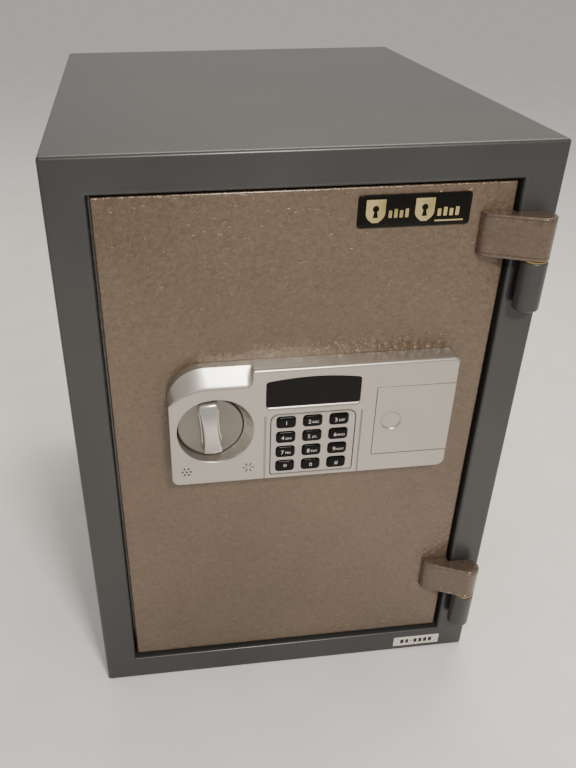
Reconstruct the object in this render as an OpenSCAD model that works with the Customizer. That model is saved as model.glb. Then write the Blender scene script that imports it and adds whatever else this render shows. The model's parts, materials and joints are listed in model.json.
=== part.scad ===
// Small fire-resistant gun safe with an electronic lock.
// Frame: +Z up, the door faces -Y, the origin is the centre of the base.
// Depths named *_y are measured backwards from the plane of the front frame,
// and front() moves that plane to its place in the frame of the part.

/* [Body] */
// Overall width of the body
body_w = 360; // [330:1:440]
// Overall height of the body
body_h = 500; // [470:1:620]
// Overall depth of the body behind the front frame
body_d = 450; // [300:1:600]
// Radius of the body's outer edges
edge_r = 4; // [1:0.5:8]
// Thickness of the outer steel sheet
case_t = 1.5; // [1:0.1:2.5]
// Width of the front frame at each side of the door
frame_side = 28.5; // [26:0.5:34]
// Height of the front frame above and below the door
frame_end = 26; // [22:0.5:34]

/* [Lining] */
// Thickness of the insulated back wall, with the back panel
back_wall = 58; // [40:1:90]
// Step from the door opening in to the throat, at each side
jamb_side = 25.5; // [22:0.5:34]
// Step from the door opening in to the throat, above and below
jamb_end = 36; // [26:0.5:50]
// Thickness of the jamb's steel
jamb_t = 1.5; // [1:0.1:2.5]
// Depth of the jamb's sleeve behind its plate
sleeve_d = 42; // [34:1:60]
// Thickness of the inner liner
liner_t = 1.2; // [0.8:0.1:2.5]
// Thickness of the felt mat on the cavity floor
mat_t = 3; // [2:0.5:6]

/* [Shelf] */
// Height of the shelf above the cavity floor
shelf_h = 186; // [60:1:280]
// Thickness of the shelf's steel
shelf_t = 1.2; // [0.8:0.1:3]
// Height of the folded front lip of the shelf
shelf_lip = 12; // [6:1:25]

/* [Door] */
// Gap between the door and the front frame, all round
door_gap = 2.2; // [2:0.1:3.5]
// Depth of the door's face behind the front frame
door_recess = 5; // [2:0.5:8]
// Depth of the door's steel pan
pan_d = 15; // [13:0.5:15]
// Thickness of the door's front plate
skin_t = 2; // [1.5:0.1:3]
// Thickness of the tray and the pan's sides
tray_t = 1.5; // [1:0.1:2]
// Depth of the bolt chamber behind the pan
chamber_d = 30; // [30:0.5:34]
// Depth of the inner door cover behind the bolt chamber
cover_d = 30; // [12:1:30]
// Wall of the moulded inner door cover
cover_t = 2; // [1.5:0.1:3]
// Gap between the bolt chamber and the throat, at each side
throat_gap = 8; // [8:0.5:11]
// Gap between the bolt chamber and the throat, above and below
throat_gap_end = 4; // [3:0.5:10]

/* [Hinges] */
// Radius of the hinge knuckles
knuckle_r = 9.8; // [8.5:0.1:10]
// Height of each hinge strap on the door
strap_h = 32; // [24:0.5:44]
// Height of each knuckle on the front frame
barrel_h = 38; // [26:0.5:50]
// Distance from the door's edge to the nearer hinge, above and below
hinge_inset = 20; // [14:0.5:60]
// Radius of the hinge pins
pin_r = 4; // [3:0.1:5]
// Running clearance round the hinge pins
pin_clear = 0.05; // [0.02:0.01:0.1]

/* [Bolts] */
// Radius of the locking bolts
bolt_r = 8; // [6:0.1:8]
// Running clearance round the locking bolts
bolt_clear = 0.05; // [0.02:0.01:0.1]
// Distance between the locking bolts
bolt_pitch = 120; // [90:1:140]
// Travel of the locking bolts
bolt_throw = 22; // [16:0.5:22]
// Radius of the fixed bolts on the hinge side
dog_r = 6; // [4:0.1:7]

/* [Knob] */
// Radius of the knob's disc
knob_r = 26.4; // [22:0.1:26.4]
// Length of the knob's grip
grip_l = 47; // [36:0.5:48]
// Width of the grip at its ends
grip_w = 16.5; // [13:0.1:20]
// Height of the grip's crest above the disc
grip_h = 9.5; // [6:0.1:11]
// Lean of the grip from upright at rest, in degrees
grip_lean = 4.5; // [-10:0.5:10]
// Radius of the knob's spindle
spindle_r = 5; // [4:0.1:6]
// Running clearance round the spindle
spindle_clear = 0.05; // [0.02:0.01:0.1]

/* [Lock housing] */
// Width of the lock housing
housing_w = 227.7; // [227.7:0.1:275]
// Height of the lock housing
housing_h = 101.7; // [101.7:0.1:112]
// Distance from the door's face to the front of the housing
housing_d = 18; // [17.5:0.1:20]
// Wall of the lock housing
housing_t = 2.2; // [1.8:0.1:2.4]
// Radius of the housing's large top corner
housing_r = 28.5; // [10:0.5:32]
// Middle of the housing, right of the door's middle
housing_off_x = 7.85; // [0:0.05:12]
// Middle of the housing, above the door's middle
housing_off_z = 42.65; // [-30:0.05:60]

/* [Keys] */
// Width of a key
key_w = 14.8; // [12:0.1:15.6]
// Height of a key
key_h = 10; // [8:0.1:10.4]
// Distance between columns of keys
key_pitch_x = 21.2; // [20:0.1:21.5]
// Distance between rows of keys
key_pitch_z = 13.85; // [13.4:0.05:13.9]
// Travel of a key
key_travel = 1.2; // [0.5:0.1:1.2]
// Gap round each key
key_gap = 0.25; // [0.15:0.01:0.35]

/* [Battery box] */
// Radius of a battery
cell_r = 7.1; // [6:0.05:7.1]
// Length of a battery
cell_l = 50.5; // [40:0.1:51]

/* [Badge and label] */
// Width of the badge
badge_w = 82; // [60:0.5:100]
// Height of the badge
badge_h = 23.3; // [16:0.1:30]
// Thickness of the badge
badge_t = 2; // [1:0.1:3]
// Width of the sticker on the front frame
label_w = 47; // [20:0.5:60]
// Height of the sticker on the front frame
label_h = 11.7; // [6:0.1:14]

/* [Hidden] */
$fn = 48;
touch = 0.1;       // play between flat faces that slide on each other
over = 1;          // extra length of a cutting tool past the face it cuts

// opening of the front frame
open_x = body_w / 2 - frame_side;
open_z0 = frame_end;
open_z1 = body_h - frame_end;
mid_z = body_h / 2;

// door pan
door_x = open_x - door_gap;
door_z0 = open_z0 + door_gap;
door_z1 = open_z1 - door_gap;
face_y = door_recess;
skin_y = face_y + skin_t;
pan_y = face_y + pan_d;
plate_y = pan_y - tray_t;

// jamb, throat and cavity
seal_t = 1.6;
seal_gap = 0.4;
seal_w = 14;
seal_in = 4;
jamb_y = pan_y + seal_gap + seal_t;
sleeve_y = jamb_y + jamb_t;
liner_y = jamb_y + sleeve_d + jamb_t;
throat_x = open_x - jamb_side;
throat_z0 = open_z0 + jamb_end;
throat_z1 = open_z1 - jamb_end;
cavity_y = body_d - back_wall;

// bolt chamber and inner cover
tray_x = throat_x - throat_gap;
tray_z0 = throat_z0 + throat_gap_end;
tray_z1 = throat_z1 - throat_gap_end;
chamber_y = pan_y + chamber_d;
cover_in = 8;
cover_y = chamber_y + cover_d;
tray_lip = 9;
screw_r = 2;
screw_head_r = 3.4;
screw_head_t = 1.8;
screw_l = 5;
screw_end = 20;
cover_screw_z = [tray_z0 + screw_end, mid_z - bolt_pitch / 2, mid_z + bolt_pitch / 2, tray_z1 - screw_end];
cover_screw_at = [for (side = [-1, 1], z = cover_screw_z) [side * (tray_x - tray_lip / 2), z]];

// shelf and its pegs
shelf_y0 = cover_y + 20;
shelf_y1 = cavity_y - 6;
shelf_z = throat_z0 + shelf_h;
peg_r = 3;
peg_l = 8;
peg_in = 30;

// hinges
hinge_out = knuckle_r + 0.6;
hinge_x = body_w / 2 - 14.8;
washer_t = 1;
strap_tip = 40;
pin_share = 0.8;
strap_z = [door_z0 + hinge_inset + barrel_h + washer_t, door_z1 - hinge_inset - strap_h];
pin_l = barrel_h + washer_t + strap_h * pin_share;
strap_bolt_r = 3;
strap_bolt_x = hinge_x - strap_tip + 14;
strap_bolt_at = [0.25, 0.75];
bolt_in = 2;
bolt_head_r = strap_bolt_r * 1.8;
bolt_head_t = 3;

// locking bolts, their bar and the fixed bolts
bolt_y = pan_y + 18;
bolt_z = [for (i = [-1 : 1]) mid_z + i * bolt_pitch];
bolt_l = 38;
bar_t = 6;
bar_x = -tray_x + bolt_l;
bar_d = 10;
bar_y0 = bolt_y - bar_d / 2;
bar_y1 = bolt_y + bar_d / 2;
guide_l = bolt_l - bolt_throw - tray_t - 2;
stud_r = 2.5;
keeper_l = bolt_throw + 4 - throat_gap;
keeper_gap = 0.6;
keeper_t = 1.5;
dog_z = [for (side = [-1, 1]) mid_z + side * 90];
dog_l = 8;
dog_gap = 1;
dog_end = 2.5;

// spindle, cam and blocking pin
housing_x0 = housing_off_x - housing_w / 2;
housing_z0 = mid_z + housing_off_z - housing_h / 2;
housing_x1 = housing_x0 + housing_w;
housing_z1 = housing_z0 + housing_h;
housing_y = face_y - housing_d;
spindle_x = housing_x0 + 32.5;
spindle_z = housing_z0 + 49.4;
cam_y0 = pan_y + 7;
cam_y1 = cam_y0 + 4;
cam_hub_r = 9;
cam_arm = bolt_throw / sqrt(2);
cam_half = 5;
cam_reach = 20;
drive_r = 3;
slot_play = 0.6;
lock_plate_t = 3;
clip_t = 1.2;
bearing_r = 7;
bearing_rim_r = 10;
bearing_rim_t = 3;
block_r = 2.5;
block_clear = 0.05;
block_l = 26;
block_x = spindle_x + cam_reach + 0.5;
solenoid_l = 30;
solenoid_w = 18;
solenoid_t = 12;

// knob in its dish
dish_r = 29.2;
dish_d = 9;
dish_half = 1.7;
bevel_l = 64;
bevel_d = 9;
bevel_drop = 14;
bevel_arc = 46;
bevel_arc_x = 32;
dish_x = spindle_x + 3.4;
disc_y = housing_y + 8;
disc_t = 3.5;
disc_gap = 0.6;
knob_hub_r = 9;

// keypad
key_x = [for (i = [-1 : 1]) housing_x0 + 112.9 + i * key_pitch_x];
key_z = [for (i = [0 : 3]) housing_z0 + 53.9 - i * key_pitch_z];
key_r = 2.6;
key_proud = 1.6;
surround_x0 = housing_x0 + 79.7;
surround_x1 = housing_x0 + 147.5;
surround_z0 = housing_z0 + 4.2;
surround_z1 = housing_z0 + 60.8;
surround_t = 3;
seam = 0.4;
flange_y = housing_y + surround_t + touch;
flange_t = 1.2;
dome_y = flange_y + flange_t + key_travel + touch;
mat_y = dome_y + 2;
board_y = mat_y + 1;
board_t = 1.6;

// display window
window_x0 = housing_x0 + 75.8;
window_x1 = housing_x0 + 149.6;
window_z0 = housing_z0 + 68;
window_z1 = housing_z0 + 90;
window_rise = 3.1;
window_gap = 0.15;

// battery cover
hatch_x0 = housing_x0 + 163.5;
hatch_z0 = housing_z0 + 16.7;
hatch_z1 = housing_z0 + 79.2;
hatch_gap = 0.3;
ledge_w = 2.5;
cell_x0 = hatch_x0 + 5.5;
cell_gap = 0.4;
cell_y = housing_y + housing_t + 0.4 + cell_r;
cell_z = [for (i = [-1.5 : 1.5]) (hatch_z0 + hatch_z1) / 2 + i * (2 * cell_r + cell_gap)];

// small details of the housing
sound_x = housing_x0 + 11.9;
sound_z = housing_z0 + 13;
sound_hole_r = 0.9;
sound_ring_r = 3.3;
sun_x = housing_x0 + 61.9;
sun_r0 = 1.9;
sun_r1 = 4.7;
sun_w = 0.9;
boss = [
    [housing_x0 + 37, housing_z0 + 7.7],
    [housing_x0 + 56, housing_z1 - 9],
    [housing_x0 + 155.5, housing_z0 + 9.2],
    [housing_x0 + 155.5, housing_z1 - 12.5]
];
boss_r = 4;
boss_hole_r = 2;
badge_x = 75.4;
badge_z = door_z1 - 17.5;
label_x = body_w / 2 - 48.8;
label_t = 0.3;
label_z = 12;
cable_r = 2;
cable_x = block_x + 21;
cable_z = spindle_z - solenoid_w / 2 - 5;
grommet_r = 4;

// ---- shared shapes ----------------------------------------------------------

// Moves depths measured from the front frame to their place in the part.
module front() {
    translate([0, -body_d / 2, 0]) children();
}

// Box between two corners.
module block(low, high) {
    translate(low) cube(high - low);
}

// Extrudes an outline drawn in X and Z over the depths y0 to y1.
module slab(y0, y1) {
    translate([0, y1, 0]) rotate([90, 0, 0]) linear_extrude(y1 - y0) children();
}

// Cylinder along Y.
module rod_y(x, z, r, y0, y1) {
    translate([x, y1, z]) rotate([90, 0, 0]) cylinder(h = y1 - y0, r = r);
}

// Cylinder along X.
module rod_x(y, z, r, x0, x1) {
    translate([x0, y, z]) rotate([0, 90, 0]) cylinder(h = x1 - x0, r = r);
}

// Rectangle with a radius for each corner, from the lower left one anticlockwise.
module corner_rect(x0, z0, x1, z1, r) {
    polygon([
        [x0 + r[0], z0], [x1 - r[1], z0], [x1, z0 + r[1]], [x1, z1 - r[2]],
        [x1 - r[2], z1], [x0 + r[3], z1], [x0, z1 - r[3]], [x0, z0 + r[0]]
    ]);
    translate([x0 + r[0], z0 + r[0]]) circle(r[0]);
    translate([x1 - r[1], z0 + r[1]]) circle(r[1]);
    translate([x1 - r[2], z1 - r[2]]) circle(r[2]);
    translate([x0 + r[3], z1 - r[3]]) circle(r[3]);
}

// Upright rectangle about the middle of the body, as a solid over y0 to y1.
module band(x, z0, z1, y0, y1) {
    block([-x, y0, z0], [x, y1, z1]);
}

// Ring between two such rectangles: x, z0 and z1 outside, moved in by wall.
module ring(x, z0, z1, wall, y0, y1) {
    difference() {
        band(x, z0, z1, y0, y1);
        band(x - wall, z0 + wall, z1 - wall, y0 - over, y1 + over);
    }
}

// Body's outer form: a box with round edges.
module body_form() {
    intersection() {
        slab(0, body_d) corner_rect(-body_w / 2, 0, body_w / 2, body_h, [edge_r, edge_r, edge_r, edge_r]);
        linear_extrude(body_h)
            corner_rect(-body_w / 2, 0, body_w / 2, body_d, [edge_r, edge_r, edge_r, edge_r]);
        rotate([90, 0, 90]) translate([0, 0, -body_w / 2]) linear_extrude(body_w)
            corner_rect(0, 0, body_d, body_h, [edge_r, edge_r, edge_r, edge_r]);
    }
}

// ---- body -------------------------------------------------------------------

module outer_casing() {
    color("#4b4b49") front() {
        difference() {
            body_form();
            block([-body_w / 2 + case_t, case_t, case_t],
                  [body_w / 2 - case_t, body_d + over, body_h - case_t]);
            band(open_x, open_z0, open_z1, -over, case_t + over);
            band(body_w, -over, body_h + over, body_d - case_t, body_d + over);
        }
        ring(open_x + case_t, open_z0 - case_t, open_z1 + case_t, case_t, case_t, sleeve_y);
    }
}

module back_panel() {
    color("#4b4b49") front() intersection() {
        body_form();
        band(body_w, -over, body_h + over, body_d - case_t, body_d + over);
    }
}

module wall_insulation() {
    color("#d8d2c4") front() difference() {
        band(body_w / 2 - case_t, case_t, body_h - case_t, case_t, body_d - case_t);
        band(open_x + case_t, open_z0 - case_t, open_z1 + case_t, 0, sleeve_y);
        band(throat_x + jamb_t, throat_z0 - jamb_t, throat_z1 + jamb_t, 0, liner_y);
        band(throat_x + liner_t, throat_z0 - liner_t, throat_z1 + liner_t, 0, cavity_y + liner_t);
        for (z = bolt_z) keeper_form(z);
        for (z = dog_z) dog_box_form(z);
    }
}

module inner_liner() {
    color("#55585a") front() difference() {
        band(throat_x + liner_t, throat_z0 - liner_t, throat_z1 + liner_t, liner_y, cavity_y + liner_t);
        band(throat_x, throat_z0, throat_z1, liner_y - over, cavity_y);
    }
}

module door_jamb() {
    color("#a9abac") front() difference() {
        union() {
            band(open_x, open_z0, open_z1, jamb_y, sleeve_y);
            ring(throat_x + jamb_t, throat_z0 - jamb_t, throat_z1 + jamb_t, jamb_t, sleeve_y, liner_y);
        }
        band(throat_x, throat_z0, throat_z1, jamb_y - over, liner_y + over);
        for (z = bolt_z)
            rod_x(bolt_y, z, bolt_r + keeper_gap, -throat_x - jamb_t - over, -throat_x + over);
        for (z = dog_z)
            block([throat_x - over, sleeve_y, z - dog_r - dog_gap],
                  [throat_x + jamb_t + over, bolt_y + dog_r + dog_gap, z + dog_r + dog_gap]);
    }
}

module fire_seal() {
    color("#2a2a2a") front() {
        rim = seal_in + seal_w;
        ring(throat_x + rim, throat_z0 - rim, throat_z1 + rim, seal_w, jamb_y - seal_t, jamb_y);
    }
}

// Cup that receives one locking bolt.
module keeper_form(z) {
    rod_x(bolt_y, z, bolt_r + keeper_gap + keeper_t, -throat_x - jamb_t - keeper_l, -throat_x - jamb_t);
}

// Box that receives one fixed bolt.
module dog_box_form(z) {
    block([throat_x + jamb_t, sleeve_y, z - dog_r - dog_gap - keeper_t],
          [throat_x + jamb_t + dog_l + dog_end + keeper_t, bolt_y + dog_r + dog_gap + keeper_t,
           z + dog_r + dog_gap + keeper_t]);
}

module bolt_keepers() {
    color("#8c8e90") front() {
        for (z = bolt_z)
            difference() {
                keeper_form(z);
                rod_x(bolt_y, z, bolt_r + keeper_gap, -throat_x - jamb_t - keeper_l + keeper_t, -throat_x);
            }
        for (z = dog_z)
            difference() {
                dog_box_form(z);
                block([throat_x, sleeve_y + keeper_t, z - dog_r - dog_gap],
                      [throat_x + jamb_t + dog_l + dog_end, bolt_y + dog_r + dog_gap, z + dog_r + dog_gap]);
            }
    }
}

module shelf() {
    color("#6b6d6e") front() difference() {
        band(throat_x - 0.6, shelf_z - shelf_lip, shelf_z + shelf_t, shelf_y0, shelf_y1);
        band(body_w, shelf_z - shelf_lip - over, shelf_z, shelf_y0 + shelf_t, shelf_y1 + over);
    }
}

module shelf_pegs() {
    color("#b9bbbc") front()
        for (side = [-1, 1], y = [shelf_y0 + peg_in, shelf_y1 - peg_in])
            rod_x(y, shelf_z - peg_r, peg_r,
                  side * (throat_x - peg_l / 2) - peg_l / 2, side * (throat_x - peg_l / 2) + peg_l / 2);
}

module floor_mat() {
    color("#3a3d42") front()
        band(throat_x - 2, throat_z0, throat_z0 + mat_t, cover_y + 8, cavity_y - 2);
}

module frame_label() {
    color("#d8d0c4") front() slab(-label_t, 0)
        corner_rect(label_x - label_w / 2, label_z - label_h / 2, label_x + label_w / 2,
                    label_z + label_h / 2, [1, 1, 1, 1]);
}

// ---- hinges -----------------------------------------------------------------

// Cylinder along Z about the hinge axis.
module on_axis(r, z0, z1) {
    translate([hinge_x, -hinge_out, z0]) cylinder(h = z1 - z0, r = r);
}

// Fixed knuckles, each with a foot that is welded to the frame.
module hinge_barrels() {
    color("#4b4b49") front()
        for (z = strap_z) {
            top = z - washer_t;
            difference() {
                union() {
                    on_axis(knuckle_r, top - barrel_h, top);
                    block([hinge_x - 3, -hinge_out + knuckle_r / 2, top - barrel_h],
                          [hinge_x + 3, 0, top]);
                }
                on_axis(pin_r, top - barrel_h - over, top + over);
            }
        }
}

module hinge_pins() {
    color("#b9bbbc") front()
        for (z = strap_z)
            on_axis(pin_r, z - washer_t - barrel_h, z - washer_t - barrel_h + pin_l);
}

module hinge_washers() {
    color("#c8a24a") front()
        for (z = strap_z)
            difference() {
                on_axis(knuckle_r - 0.5, z - washer_t, z - touch);
                on_axis(pin_r, z - washer_t - over, z + over);
            }
}

// Strap in plan: a knuckle, a straight slanting front and a round tip on the door.
module strap_plan() {
    tip_x = hinge_x - strap_tip;
    slope = atan2(12, 34);
    translate([hinge_x, -hinge_out]) circle(knuckle_r);
    polygon([
        [tip_x, face_y], [tip_x + 1.6, -0.2], [tip_x + 5.4, -4.4],
        [hinge_x - knuckle_r * sin(slope), -hinge_out - knuckle_r * cos(slope)],
        [hinge_x, -hinge_out], [hinge_x, -hinge_out + knuckle_r],
        [door_x, -hinge_out + knuckle_r], [door_x, face_y]
    ]);
}

module hinge_strap(z) {
    difference() {
        translate([0, 0, z]) linear_extrude(strap_h) strap_plan();
        on_axis(pin_r + pin_clear, z - over, z + strap_h * pin_share + touch);
        for (dz = strap_bolt_at)
            rod_y(strap_bolt_x, z + strap_h * dz, strap_bolt_r, -bolt_in, face_y + over);
    }
}

module hinge_straps() {
    color("#7d6c5c") front() for (z = strap_z) hinge_strap(z);
}

module hinge_bolts() {
    color("#8c8e90") front()
        for (z = strap_z, dz = strap_bolt_at) {
            rod_y(strap_bolt_x, z + strap_h * dz, strap_bolt_r, -bolt_in, skin_y);
            rod_y(strap_bolt_x, z + strap_h * dz, bolt_head_r, skin_y, skin_y + bolt_head_t);
        }
}

// ---- door -------------------------------------------------------------------

// Holes through the door for the spindle, the cable and the fasteners.
module door_holes(spare) {
    rod_y(spindle_x, spindle_z, bearing_r + spare, 0, pan_y + over);
    rod_y(cable_x, cable_z, grommet_r + spare, 0, pan_y + over);
}

module door_skin() {
    color("#75675a") front() difference() {
        band(door_x, door_z0, door_z1, face_y, pan_y);
        band(door_x - tray_t, door_z0 + tray_t, door_z1 - tray_t, skin_y, pan_y + over);
        door_holes(0);
        for (p = boss) rod_y(p[0], p[1], boss_hole_r, 0, skin_y + over);
        for (z = strap_z, dz = strap_bolt_at)
            rod_y(strap_bolt_x, z + strap_h * dz, strap_bolt_r, 0, skin_y + over);
    }
}

module door_insulation() {
    color("#d8d2c4") front() difference() {
        band(door_x - tray_t, door_z0 + tray_t, door_z1 - tray_t, skin_y, plate_y);
        door_holes(2);
        for (p = boss) rod_y(p[0], p[1], 4.5, 0, skin_y + 3);
        for (z = strap_z, dz = strap_bolt_at)
            rod_y(strap_bolt_x, z + strap_h * dz, bolt_head_r + 0.6, 0, skin_y + bolt_head_t + 1);
    }
}

// Steel tray: a plate that closes the pan, and the walls of the bolt chamber.
module door_tray() {
    color("#a9abac") front() difference() {
        union() {
            band(door_x - tray_t, door_z0 + tray_t, door_z1 - tray_t, plate_y, pan_y);
            ring(tray_x, tray_z0, tray_z1, tray_t, pan_y, chamber_y);
            ring(tray_x, tray_z0, tray_z1, tray_lip, chamber_y - tray_t, chamber_y);
        }
        door_holes(0);
        for (z = bolt_z) rod_x(bolt_y, z, bolt_r + bolt_clear, -tray_x - over, -tray_x + tray_t + over);
        for (z = dog_z) rod_x(bolt_y, z, dog_r, tray_x - tray_t - over, tray_x + over);
        for (p = cover_screw_at) rod_y(p[0], p[1], screw_r, chamber_y - tray_t - over, chamber_y + over);
    }
}

module inner_cover() {
    color("#3f4143") front() difference() {
        union() {
            band(tray_x, tray_z0, tray_z1, chamber_y, chamber_y + cover_t);
            band(tray_x - cover_in, tray_z0 + cover_in, tray_z1 - cover_in, chamber_y, cover_y);
        }
        band(tray_x - cover_in - cover_t, tray_z0 + cover_in + cover_t, tray_z1 - cover_in - cover_t,
             chamber_y - over, cover_y - cover_t);
        for (p = cover_screw_at) rod_y(p[0], p[1], screw_r, chamber_y - over, chamber_y + cover_t + over);
    }
}

module cover_insulation() {
    color("#d8d2c4") front()
        band(tray_x - cover_in - cover_t, tray_z0 + cover_in + cover_t, tray_z1 - cover_in - cover_t,
             chamber_y, cover_y - cover_t);
}

module cover_screws() {
    color("#b9bbbc") front()
        for (p = cover_screw_at) {
            rod_y(p[0], p[1], screw_r, chamber_y - screw_l, chamber_y + cover_t);
            rod_y(p[0], p[1], screw_head_r, chamber_y + cover_t, chamber_y + cover_t + screw_head_t);
        }
}

module badge() {
    color("#1c1b18") front() slab(face_y - badge_t, face_y)
        corner_rect(badge_x - badge_w / 2, badge_z - badge_h / 2, badge_x + badge_w / 2,
                    badge_z + badge_h / 2, [2.5, 2.5, 2.5, 2.5]);
}

// ---- lock housing -----------------------------------------------------------

// Outline of the housing, moved in by inset.
module housing_outline(inset) {
    corner_rect(housing_x0 + inset, housing_z0 + inset, housing_x1 - inset, housing_z1 - inset,
                [6 - inset, 6 - inset, 4.5 - inset, housing_r - inset]);
}

// Left end of that outline, up to the step where the bevel stops and a little into
// the block beyond it.
module left_outline(inset) {
    intersection() {
        housing_outline(inset);
        translate([housing_x0, housing_z0])
            square([bevel_l - inset + over, housing_h]);
    }
}

// The same in the plane of the front, where the bevel has taken its top corner.
module bevelled_outline(inset) {
    intersection() {
        left_outline(inset);
        union() {
            translate([housing_x0 + bevel_arc_x, housing_z1 - bevel_drop - bevel_arc])
                circle(bevel_arc - inset, $fn = 96);
            translate([housing_x0 + bevel_arc_x, housing_z0])
                square([bevel_l + over, housing_h - bevel_drop - inset]);
            translate([housing_x0, housing_z0])
                square([bevel_l, housing_h - bevel_drop - bevel_arc]);
        }
    }
}

// Full form of the housing, moved in by inset: a slab whose top left is bevelled.
module housing_form(inset) {
    intersection() {
        slab(housing_y + inset, face_y + (inset > 0 ? over : 0)) housing_outline(inset);
        union() {
            block([housing_x0 + bevel_l - inset, housing_y - over, housing_z0],
                  [housing_x1, face_y + over, housing_z1]);
            hull() {
                slab(housing_y + inset, housing_y + inset + 0.01) bevelled_outline(inset);
                slab(housing_y + bevel_d + inset, face_y + over) left_outline(inset);
            }
        }
    }
}

// Dish for the knob, as a solid to cut away.
module dish_form() {
    for (side = [-1, 1])
        translate([dish_x + side * dish_half, housing_y + dish_d, spindle_z]) rotate([90, 0, 0]) {
            cylinder(h = dish_d, r1 = dish_r - 1.4, r2 = dish_r);
            translate([0, 0, dish_d]) cylinder(h = over, r = dish_r);
        }
}

// Wall that backs the dish.
module dish_back() {
    for (side = [-1, 1])
        rod_y(dish_x + side * dish_half, spindle_z, dish_r + 2, housing_y + housing_t,
              housing_y + dish_d + 2);
}

// Outline of the display window, grown by a gap, with an arched top.
module window_outline(gap) {
    half = (window_x1 - window_x0) / 2;
    arc = (half * half + window_rise * window_rise) / (2 * window_rise);
    corner_rect(window_x0 - gap, window_z0 - gap, window_x1 + gap, window_z1, [2, 2, 0.8, 0.8]);
    intersection() {
        translate([(window_x0 + window_x1) / 2, window_z1 + window_rise - arc])
            circle(arc + gap, $fn = 200);
        translate([window_x0 - gap + 0.8, window_z1 - 2])
            square([window_x1 - window_x0 + 2 * gap - 1.6, 2 + window_rise + over]);
    }
}

// Outline of the keypad surround, moved in by inset.
module surround_outline(inset) {
    corner_rect(surround_x0 + inset, surround_z0 + inset, surround_x1 - inset, surround_z1 - inset,
                [2, 2, 6, 6]);
}

// Outline of one key, grown by a gap.
module key_outline(col, row, gap) {
    corner_rect(key_x[col] - key_w / 2 - gap, key_z[row] - key_h / 2 - gap,
                key_x[col] + key_w / 2 + gap, key_z[row] + key_h / 2 + gap,
                [key_r + gap, key_r + gap, key_r + gap, key_r + gap]);
}

module lock_housing() {
    color("#a8a096") front() difference() {
        union() {
            difference() {
                housing_form(0);
                housing_form(housing_t);
            }
            intersection() {
                housing_form(0);
                union() {
                    dish_back();
                    for (p = boss) rod_y(p[0], p[1], boss_r, housing_y + housing_t, face_y);
                    // rails that the battery cover rides on
                    block([hatch_x0 - ledge_w, housing_y + housing_t, hatch_z0 - housing_t],
                          [housing_x1, housing_y + housing_t + 1.2, hatch_z0 + ledge_w - housing_t]);
                    block([hatch_x0 - ledge_w, housing_y + housing_t, hatch_z1 - ledge_w + housing_t],
                          [housing_x1, housing_y + housing_t + 1.2, hatch_z1 + housing_t]);
                }
            }
        }
        dish_form();
        rod_y(spindle_x, spindle_z, knob_r + disc_gap, housing_y, housing_y + dish_d + 2 + over);
        slab(housing_y - over, housing_y + housing_t + over) surround_outline(-seam);
        slab(housing_y - over, housing_y + housing_t + over) window_outline(window_gap);
        // opening for the battery cover, through the front and the right side
        block([hatch_x0 - hatch_gap, housing_y - over, hatch_z0 - hatch_gap],
              [housing_x1 + over, housing_y + housing_t, hatch_z1 + hatch_gap]);
        block([housing_x1 - 2 * housing_t, housing_y - over, hatch_z0 - hatch_gap],
              [housing_x1 + over, face_y - 0.2, hatch_z1 + hatch_gap]);
        for (p = boss) rod_y(p[0], p[1], boss_hole_r, face_y - 10, face_y + over);
        for (a = [0 : 60 : 300])
            rod_y(sound_x + sound_ring_r * cos(a), sound_z + sound_ring_r * sin(a), sound_hole_r,
                  housing_y - over, housing_y + housing_t + over);
        rod_y(sound_x, sound_z, sound_hole_r, housing_y - over, housing_y + housing_t + over);
        for (a = [0 : 60 : 300])
            translate([sun_x, 0, sound_z]) rotate([0, a, 0])
                block([sun_r0, housing_y - over, -sun_w / 2], [sun_r1, housing_y + housing_t + over, sun_w / 2]);
    }
}

module housing_screws() {
    color("#b9bbbc") front()
        for (p = boss) {
            rod_y(p[0], p[1], boss_hole_r, face_y - 10, skin_y);
            rod_y(p[0], p[1], 3.8, skin_y, skin_y + 2.4);
        }
}

module keypad_surround() {
    color("#a8a096") front() difference() {
        union() {
            slab(housing_y, housing_y + surround_t) surround_outline(0);
            slab(housing_y + housing_t, housing_y + surround_t) surround_outline(-1.8);
        }
        for (col = [0 : 2], row = [0 : 3])
            slab(housing_y - over, housing_y + surround_t + over) key_outline(col, row, key_gap);
    }
}

module display_window() {
    color("#111111") front() slab(housing_y, housing_y + housing_t) window_outline(0);
}

module display_module() {
    color("#5d6f5c") front() block(
        [window_x0 + 10, housing_y + housing_t, window_z0 + 1.5],
        [window_x1 - 10, board_y, window_z1 - 1]
    );
}

module keypad_board() {
    color("#2e5d3a") front()
        block([cable_x - 4, board_y, surround_z0 + 2],
              [surround_x1 - 1, board_y + board_t, window_z1 + 1]);
}

module key_mat() {
    color("#8f8f8a") front() {
        slab(mat_y, board_y) surround_outline(3);
        for (x = key_x, z = key_z)
            translate([x, mat_y, z]) rotate([90, 0, 0])
                cylinder(h = mat_y - dome_y, r1 = 4, r2 = 2.5);
    }
}

// One key: a cap through the surround and a flange behind it.
module key_form(col, row) {
    slab(housing_y - key_proud, flange_y) key_outline(col, row, 0);
    slab(flange_y, flange_y + flange_t) key_outline(col, row, 1.2);
}

// Draws the key in column col and row row of the pad.
module key(col, row) {
    color("#161616") front() key_form(col, row);
}

module sounder() {
    color("#b9944a") front()
        rod_y(sound_x, sound_z, 6.5, housing_y + housing_t, housing_y + housing_t + 3);
}

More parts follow.
